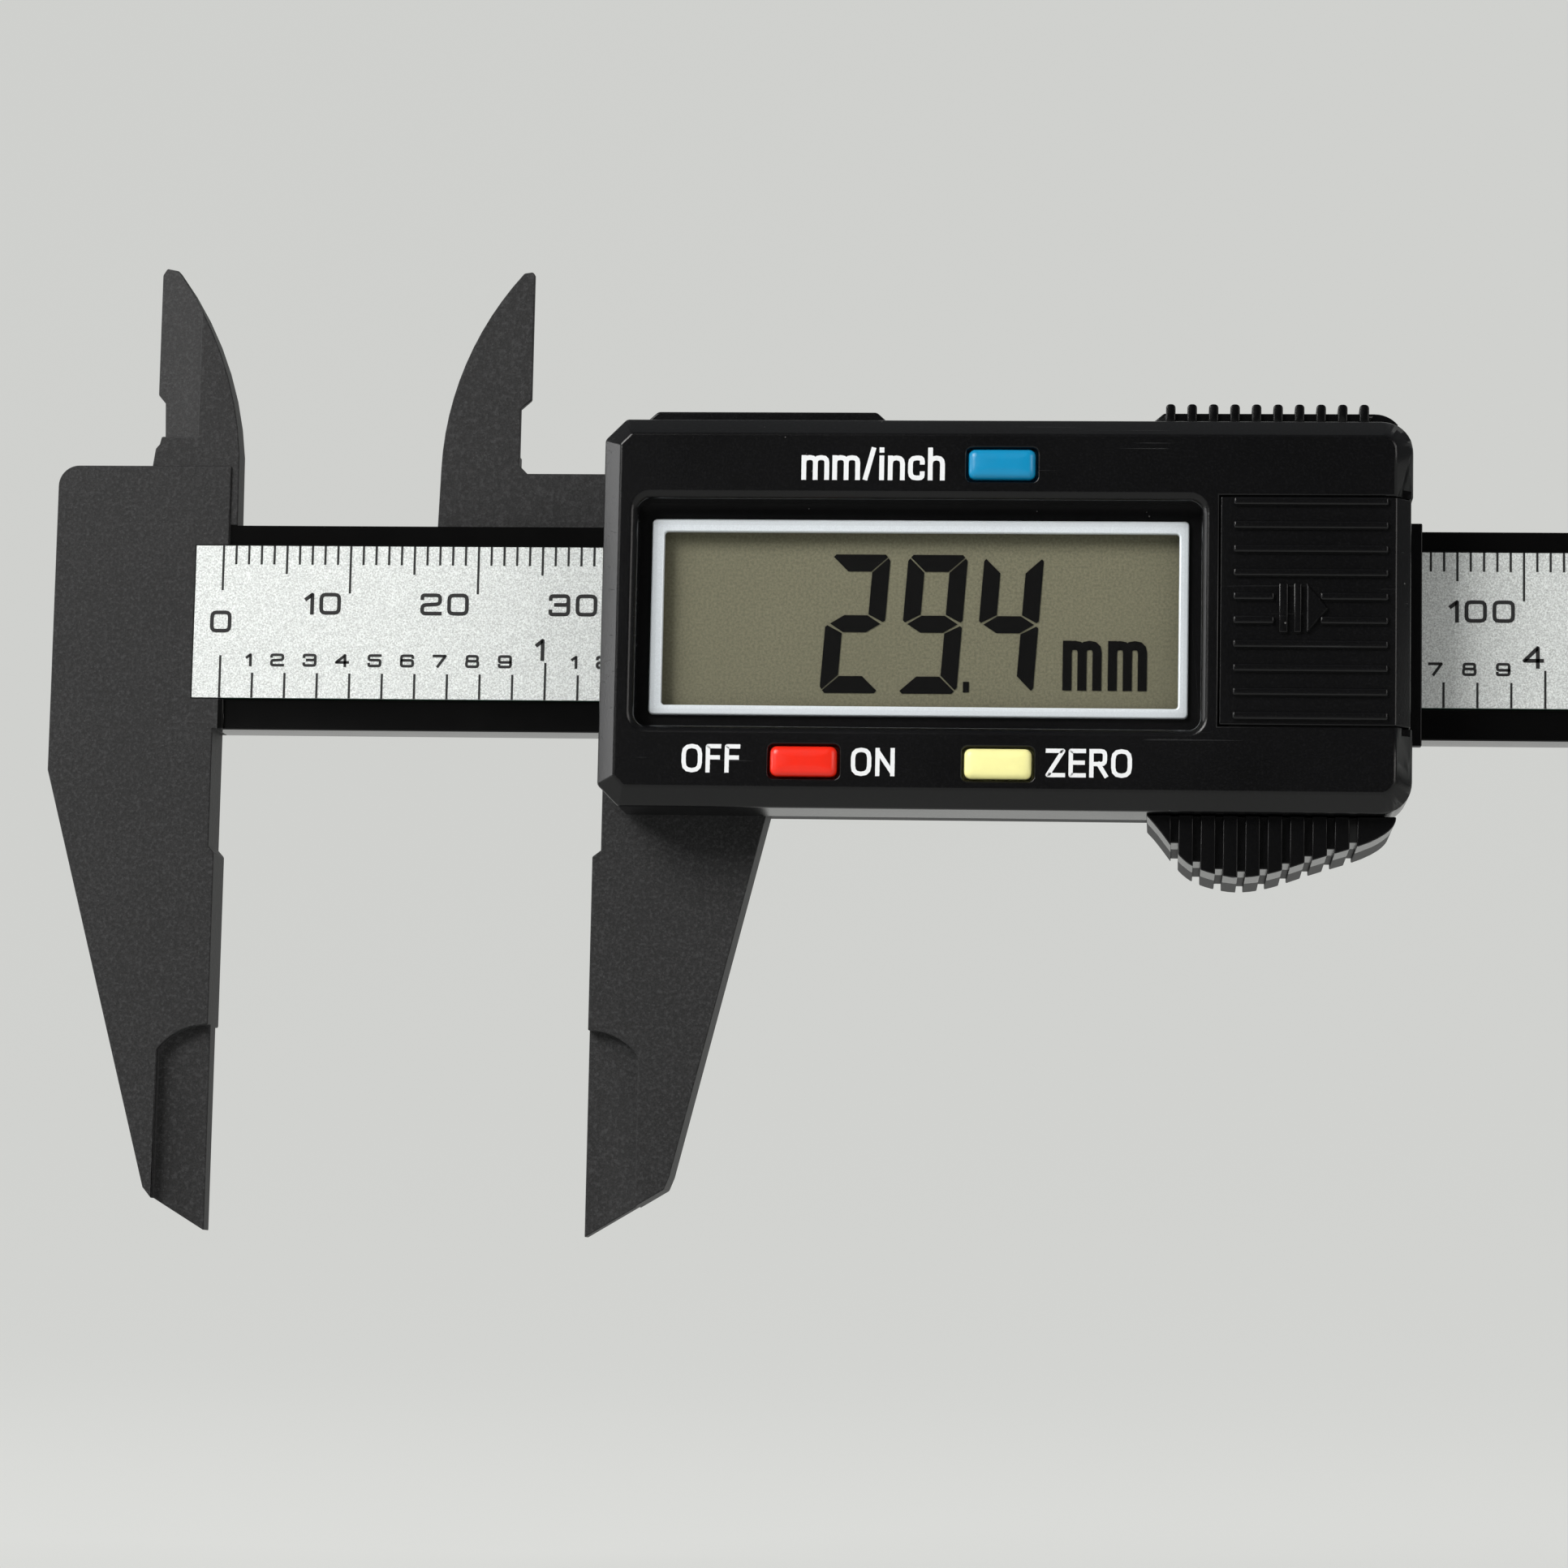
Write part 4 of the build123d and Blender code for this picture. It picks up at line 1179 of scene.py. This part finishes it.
# ---- battery lid
class CALIPER_OT_lid(bpy.types.Operator):
    """Sliding battery lid with its ribs and arrow"""

    bl_idname = "caliper.lid"
    bl_label = "Battery lid"

    def execute(self, context):
        sizes = context.scene.caliper_lid
        colours = context.scene.caliper_colours
        edge = context.scene.caliper_mouldings.rib_edge
        low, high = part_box("battery_lid")
        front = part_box("front_housing")[0].y / MM
        x0, x1 = low.x / MM, high.x / MM
        z0, z1 = LID_Z
        top, rib_z = front - sizes.height / MM, z1 - 0.35
        finish = black_plastic(colours, "lid_plastic")
        chamfer, inner, wall, wall_end = 1.15, -9.1, 90.05, -3.15
        profile = [
            (x0, front), (x1 - chamfer, front), (x1, front + chamfer), (x1, wall_end),
            (wall, wall_end), (wall, inner), (x0, inner),
        ]
        bm = bmesh.new()
        loft(bm, [[(x, y, z) for x, y in profile] for z in (z0, z1)])
        outward(bm)
        sharp = [e for e in bm.edges if e.calc_face_angle(0) > 0.5 and e.calc_length() > 0.0005]
        bmesh.ops.bevel(
            bm, geom=sharp, offset=0.12 * MM, segments=2, profile=0.5, affect="EDGES"
        )
        for z in (z0 - 0.5, z1):
            add_block(bm, (x0 + 0.7, inner - 0.5, z), (wall + 0.45, inner, z + 0.5))
        shell = mesh_of("lid_shell", bm)

        def rib(name, left, right):
            bm = bmesh.new()
            half = sizes.width / MM / 2
            add_block(
                bm, (left, top, rib_z - half), (right, front + 0.05, rib_z + half),
                edge, 3, front_edges(top),
            )
            return mesh_of(name, bm)

        tree = row_of_copies()
        step = (0.0, 0.0, -sizes.pitch)
        middle = sizes.ribs // 2
        rows = [grown(
            rib("rib_row", *RIB_X), tree, finish, Count=sizes.ribs, Step_vector=step,
            First_left_out=middle - 1.0, Last_left_out=float(middle),
        )]
        for left, right in ((RIB_X[0], ARROW_ROOM[0]), (ARROW_ROOM[1], RIB_X[1])):
            rows.append(grown(
                rib("rib_pair", left, right), tree, finish, Count=middle + 1, Step_vector=step,
                First_left_out=0.0, Last_left_out=middle - 2.0,
            ))
        arrow_z, reach = rib_z - sizes.pitch / MM * (middle - 0.5), 1.85
        bm = bmesh.new()
        for left, right in ((81.35, 82.0), (82.45, 83.0)):
            add_block(
                bm, (left, top, arrow_z - reach), (right, front + 0.05, arrow_z + reach),
                edge * 0.7, 2, front_edges(top),
            )
        tip = [(83.4, reach), (85.0, 0.0), (83.4, -reach)]
        crest = [(83.5, reach - 0.23), (84.86, 0.0), (83.5, 0.23 - reach)]
        loft(bm, [
            [(x, y, arrow_z + z) for x, z in outline]
            for outline, y in ((tip, front + 0.05), (tip, top + 0.1), (crest, top))
        ])
        outward(bm)
        lid = even_normals(joined("lid_moulding", shell, *rows, mesh_of("arrow", bm)))
        put(lid, "lid", finish, "housing_plastic", "battery_lid")
        return {"FINISHED"}


# ---- buttons
class CALIPER_OT_buttons(bpy.types.Operator):
    """The three soft-edged buttons"""

    bl_idname = "caliper.buttons"
    bl_label = "Buttons"

    def execute(self, context):
        sizes = context.scene.caliper_buttons
        colours = context.scene.caliper_colours
        corner, crown = sizes.corner / MM, sizes.crown / MM
        kinds = [
            ("button_unit", "unit_button", "button_blue", tuple(colours.blue)),
            ("button_power", "power_button", "button_red", tuple(colours.red)),
            ("button_zero", "zero_button", "button_yellow", tuple(colours.yellow)),
        ]
        for node, body, slot, rgb in kinds:
            low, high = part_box(node)
            x, z = (low.x + high.x) / 2 / MM, (low.z + high.z) / 2 / MM
            half_x, half_z = BUTTON_HALF
            front, back = low.y / MM, high.y / MM
            post, flange, flange_back, flange_front = 0.9, 0.45, -8.05, -8.75
            wide, deep = half_x + flange, half_z + flange
            rings = [(post, post, post - 0.01, y) for y in (back, -8.3)]
            rings += [(wide, deep, 0.2, y) for y in (flange_back, flange_front)]
            rings += [(half_x, half_z, corner, y) for y in (flange_front, front + crown)]
            for step in range(1, 6):
                turn = math.radians(18 * step)
                inset = crown * (1 - math.cos(turn))
                y = front + crown * (1 - math.sin(turn)) * 0.9 + 0.055
                rings.append((half_x - inset, half_z - inset, max(0.1, corner - inset * 0.5), y))
            rings.append((half_x * 0.45, half_z * 0.3, 0.1, front))
            bm = bmesh.new()
            loft(bm, [
                [(x + px, y, z + pz) for px, pz in rounded_rectangle(rx, rz, r)]
                for rx, rz, r, y in rings
            ])
            outward(bm)
            button = even_normals(mesh_of(f"{body}_cap", bm))
            put(button, body, button_plastic(f"{slot}_plastic", rgb), slot, node)
        return {"FINISHED"}


# ---- screws
def screw_mesh(name, centre, seat, head, tall, shank, end):
    """A pan head screw along Y with a cross recess: centre in X, Z, all in millimetres."""
    bm = bmesh.new()
    outline = [(0.0, end), (shank, end), (shank, seat), (head, seat), (head, seat + tall * 0.35)]
    for step in range(1, 5):
        turn = math.radians(90 * step / 4)
        crown = seat + tall * (0.35 + 0.65 * math.sin(turn))
        outline.append((head * (0.62 + 0.38 * math.cos(turn)), crown))
    outline.append((0.0, seat + tall))
    turns = 32
    rings = []
    for radius, y in outline[1:-1]:
        rings.append([
            (centre[0] + radius * math.cos(2 * math.pi * i / turns), y,
             centre[1] + radius * math.sin(2 * math.pi * i / turns))
            for i in range(turns)
        ])
    loft(bm, rings)
    outward(bm)
    body = mesh_of(name, bm)
    bm = bmesh.new()
    reach, half = head * 0.62, head * 0.13
    for wide, high in ((reach, half), (half, reach)):
        top = [(-wide, -high), (wide, -high), (wide, high), (-wide, high)]
        loft(bm, [
            [(centre[0] + x * share, y, centre[1] + z * share) for x, z in top]
            for share, y in ((0.55, seat + tall * 0.35), (1.0, seat + tall + 0.1))
        ])
    outward(bm)
    cross = mesh_of("cross", bm)
    cut = body.modifiers.new("Cross recess", "BOOLEAN")
    cut.operation = "DIFFERENCE"
    cut.solver = "EXACT"
    cut.use_self = True
    cut.object = cross
    baked(body)
    bpy.data.objects.remove(cross)
    return body


class CALIPER_OT_screws(bpy.types.Operator):
    """Cross-recess screws of the case and of the end stop"""

    bl_idname = "caliper.screws"
    bl_label = "Screws"

    def execute(self, context):
        tree = grid_of_copies()
        # Name, CAD node, body, radius and height of the head, radius of the shank, columns.
        kinds = [
            ("case_screw_set", "case_screws", "slider", 1.75, 0.8, 1.0, 2),
            ("stop_screw_set", "end_stop_screws", "beam", 1.5, 0.8, 0.8, 1),
        ]
        for name, node, body, head, tall, shank, columns in kinds:
            low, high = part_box(node)
            finish = steel(f"{name}_steel", (0.3, 0.3, 0.31), 0.3)
            first = (0.0, 0.0)
            screw = screw_mesh(name, first, high.y / MM - tall, head, tall, shank, low.y / MM)
            across = (high.x - low.x) / MM - 2 * head
            upward = (high.z - low.z) / MM - 2 * head
            grown(
                screw, tree, finish, Columns=columns, Rows=2, Column_step=across * MM,
                Row_step=upward * MM, Turn=math.radians(40), Seed=4.0,
            )
            shift = Vector((low.x + head * MM, 0, low.z + head * MM))
            screw.data.transform(Matrix.Translation(shift))
            smooth(screw.data, 32)
            put(screw, body, finish, "steel", node)
        return {"FINISHED"}


class CALIPER_OT_insides(bpy.types.Operator):
    """Materials of the parts inside the housing"""

    bl_idname = "caliper.insides"
    bl_label = "Inside parts"

    def execute(self, context):
        board = grained("circuit_board_green", linear(24, 74, 48), 0.42, 0.5, 0.18)
        bare = steel("contact_steel", (0.55, 0.53, 0.47), 0.24)
        plain = steel("screw_steel", rough=0.3)
        rubber = grained("contact_rubber", linear(44, 44, 46), 0.7, 0.2, 0.15, 0.3)
        finishes = {
            "stator_strip": grained("stator_green", linear(30, 86, 58), 0.45, 0.4, 0.15),
            "circuit_board": board,
            "pickup_board": board,
            "controller_chip": grained("chip_resin", linear(22, 22, 23), 0.4, 0.3, 0.2),
            "lcd_holder": grained("holder_white", linear(214, 214, 208), 0.5, 0.4, 0.05),
            "zebra_strips": grained("zebra_rubber", linear(226, 168, 176), 0.6, 0.12, 0.25, 0.3),
            "contact_pads": rubber,
            "battery_cell": steel("cell_steel", (0.6, 0.6, 0.59), 0.22),
            "contact_negative": bare,
            "contact_positive": bare,
            "gib_spring": plain,
            "rod_clamp": plain,
            "rod_screws": plain,
            "board_screws": plain,
        }
        for node, finish in finishes.items():
            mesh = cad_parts[node].data
            mesh.materials.clear()
            mesh.materials.append(finish)
        return {"FINISHED"}


# ---- stage
def soft_light(name, place, aim, wide, power, tint=(1.0, 1.0, 1.0)):
    """A square soft light that faces a point."""
    lamp = bpy.data.lights.new(name, "AREA")
    lamp.shape = "SQUARE"
    lamp.size = wide
    lamp.energy = power
    lamp.color = tint
    holder = bpy.data.objects.new(name, lamp)
    bpy.context.scene.collection.objects.link(holder)
    holder.location = place
    holder.rotation_euler = (Vector(aim) - Vector(place)).to_track_quat("-Z", "Y").to_euler()


class CALIPER_OT_stage(bpy.types.Operator):
    """Pale floor that sweeps up into a backdrop, soft lights and the camera"""

    bl_idname = "caliper.stage"
    bl_label = "Stage"

    def execute(self, context):
        sizes = context.scene.caliper_stage
        colours = context.scene.caliper_colours
        scene = context.scene
        floor = -sizes.floor
        sweep, wall, front = 1.4, 2.4, -7.0
        profile = [(front, floor), (wall - sweep, floor)]
        for step in range(1, 17):
            turn = math.radians(90 * step / 16)
            profile.append((
                wall - sweep + sweep * math.sin(turn), floor + sweep * (1 - math.cos(turn))
            ))
        profile.append((wall, 3.2))
        bm = bmesh.new()
        rows = [[bm.verts.new((x, y, z)) for y, z in profile] for x in (-7.0, 7.0)]
        for i in range(len(profile) - 1):
            bm.faces.new((rows[0][i], rows[1][i], rows[1][i + 1], rows[0][i + 1]))
        paper = mesh_of("backdrop", bm)
        smooth(paper.data, 60)
        paper.data.materials.append(stage_paper(colours))

        world = bpy.data.worlds.new("Studio")
        scene.world = world
        world.use_nodes = True
        air = Nodes(world.node_tree)
        direction = air.node("ShaderNodeTexCoord", output=0)
        split = air.node("ShaderNodeSeparateXYZ", inputs={0: direction})
        x, y, z = (Signal(air, o) for o in split.socket.node.outputs)
        strength = 0.2 + y * 0.18 - x * 0.05
        sky = world.node_tree.nodes["Background"]
        air.feed(sky.inputs["Color"], (0.95, 0.98, 1.0))
        air.feed(sky.inputs["Strength"], strength)

        soft_light("key", (-0.42, -0.58, 0.42), (0.05, 0, 0), 0.42, 6.8, (1.0, 0.99, 0.97))
        soft_light("fill", (1.3, -1.0, 0.5), (0.1, 0, 0), 0.9, 7.5, (1.0, 0.97, 0.94))
        soft_light("side", (-0.9, 0.02, 0.02), (0.0, 0, 0), 0.6, 4.5)

        camera = bpy.data.objects.new("camera", bpy.data.cameras.new("camera"))
        scene.collection.objects.link(camera)
        pitch, roll, yaw = sizes.turn
        aim = Matrix.Rotation(yaw, 4, "Z") @ Matrix.Rotation(pitch, 4, "X")
        aim = aim @ Matrix.Rotation(roll, 4, "Y") @ Matrix.Rotation(math.radians(90), 4, "X")
        camera.matrix_world = Matrix.Translation(Vector(sizes.camera)) @ aim
        camera.data.lens = sizes.lens
        camera.data.sensor_width = 36.0
        camera.data.clip_start, camera.data.clip_end = 0.01, 20.0
        scene.camera = camera
        scene.view_settings.view_transform = "Standard"
        return {"FINISHED"}


# ---- panel and registration
GROUPS = {
    "caliper_scale": ScaleSizes,
    "caliper_mouldings": MouldingSizes,
    "caliper_display": DisplaySizes,
    "caliper_lid": LidSizes,
    "caliper_buttons": ButtonSizes,
    "caliper_colours": FinishColours,
    "caliper_stage": StageSizes,
}
STEPS = [
    CALIPER_OT_beam,
    CALIPER_OT_scale,
    CALIPER_OT_slider,
    CALIPER_OT_housing,
    CALIPER_OT_display,
    CALIPER_OT_lid,
    CALIPER_OT_buttons,
    CALIPER_OT_screws,
    CALIPER_OT_insides,
    CALIPER_OT_stage,
]


class CALIPER_PT_panel(bpy.types.Panel):
    """Sizes, colours and building steps of the caliper"""

    bl_idname = "CALIPER_PT_panel"
    bl_label = "Digital caliper"
    bl_space_type = "VIEW_3D"
    bl_region_type = "UI"
    bl_category = "Caliper"

    def draw(self, context):
        for step in STEPS:
            self.layout.operator(step.bl_idname)
        for group, kind in GROUPS.items():
            box = self.layout.box()
            box.label(text=kind.__doc__)
            for field in kind.__annotations__:
                box.prop(getattr(context.scene, group), field)


def register():
    for kind in (*GROUPS.values(), *STEPS, CALIPER_PT_panel):
        bpy.utils.register_class(kind)
    for name, kind in GROUPS.items():
        setattr(bpy.types.Scene, name, bpy.props.PointerProperty(type=kind))


def unregister():
    for name in GROUPS:
        delattr(bpy.types.Scene, name)
    for kind in reversed((*GROUPS.values(), *STEPS, CALIPER_PT_panel)):
        bpy.utils.unregister_class(kind)


def main():
    register()
    for step in STEPS:
        getattr(bpy.ops.caliper, step.bl_idname.split(".")[1])()


if __name__ == "__main__":
    main()
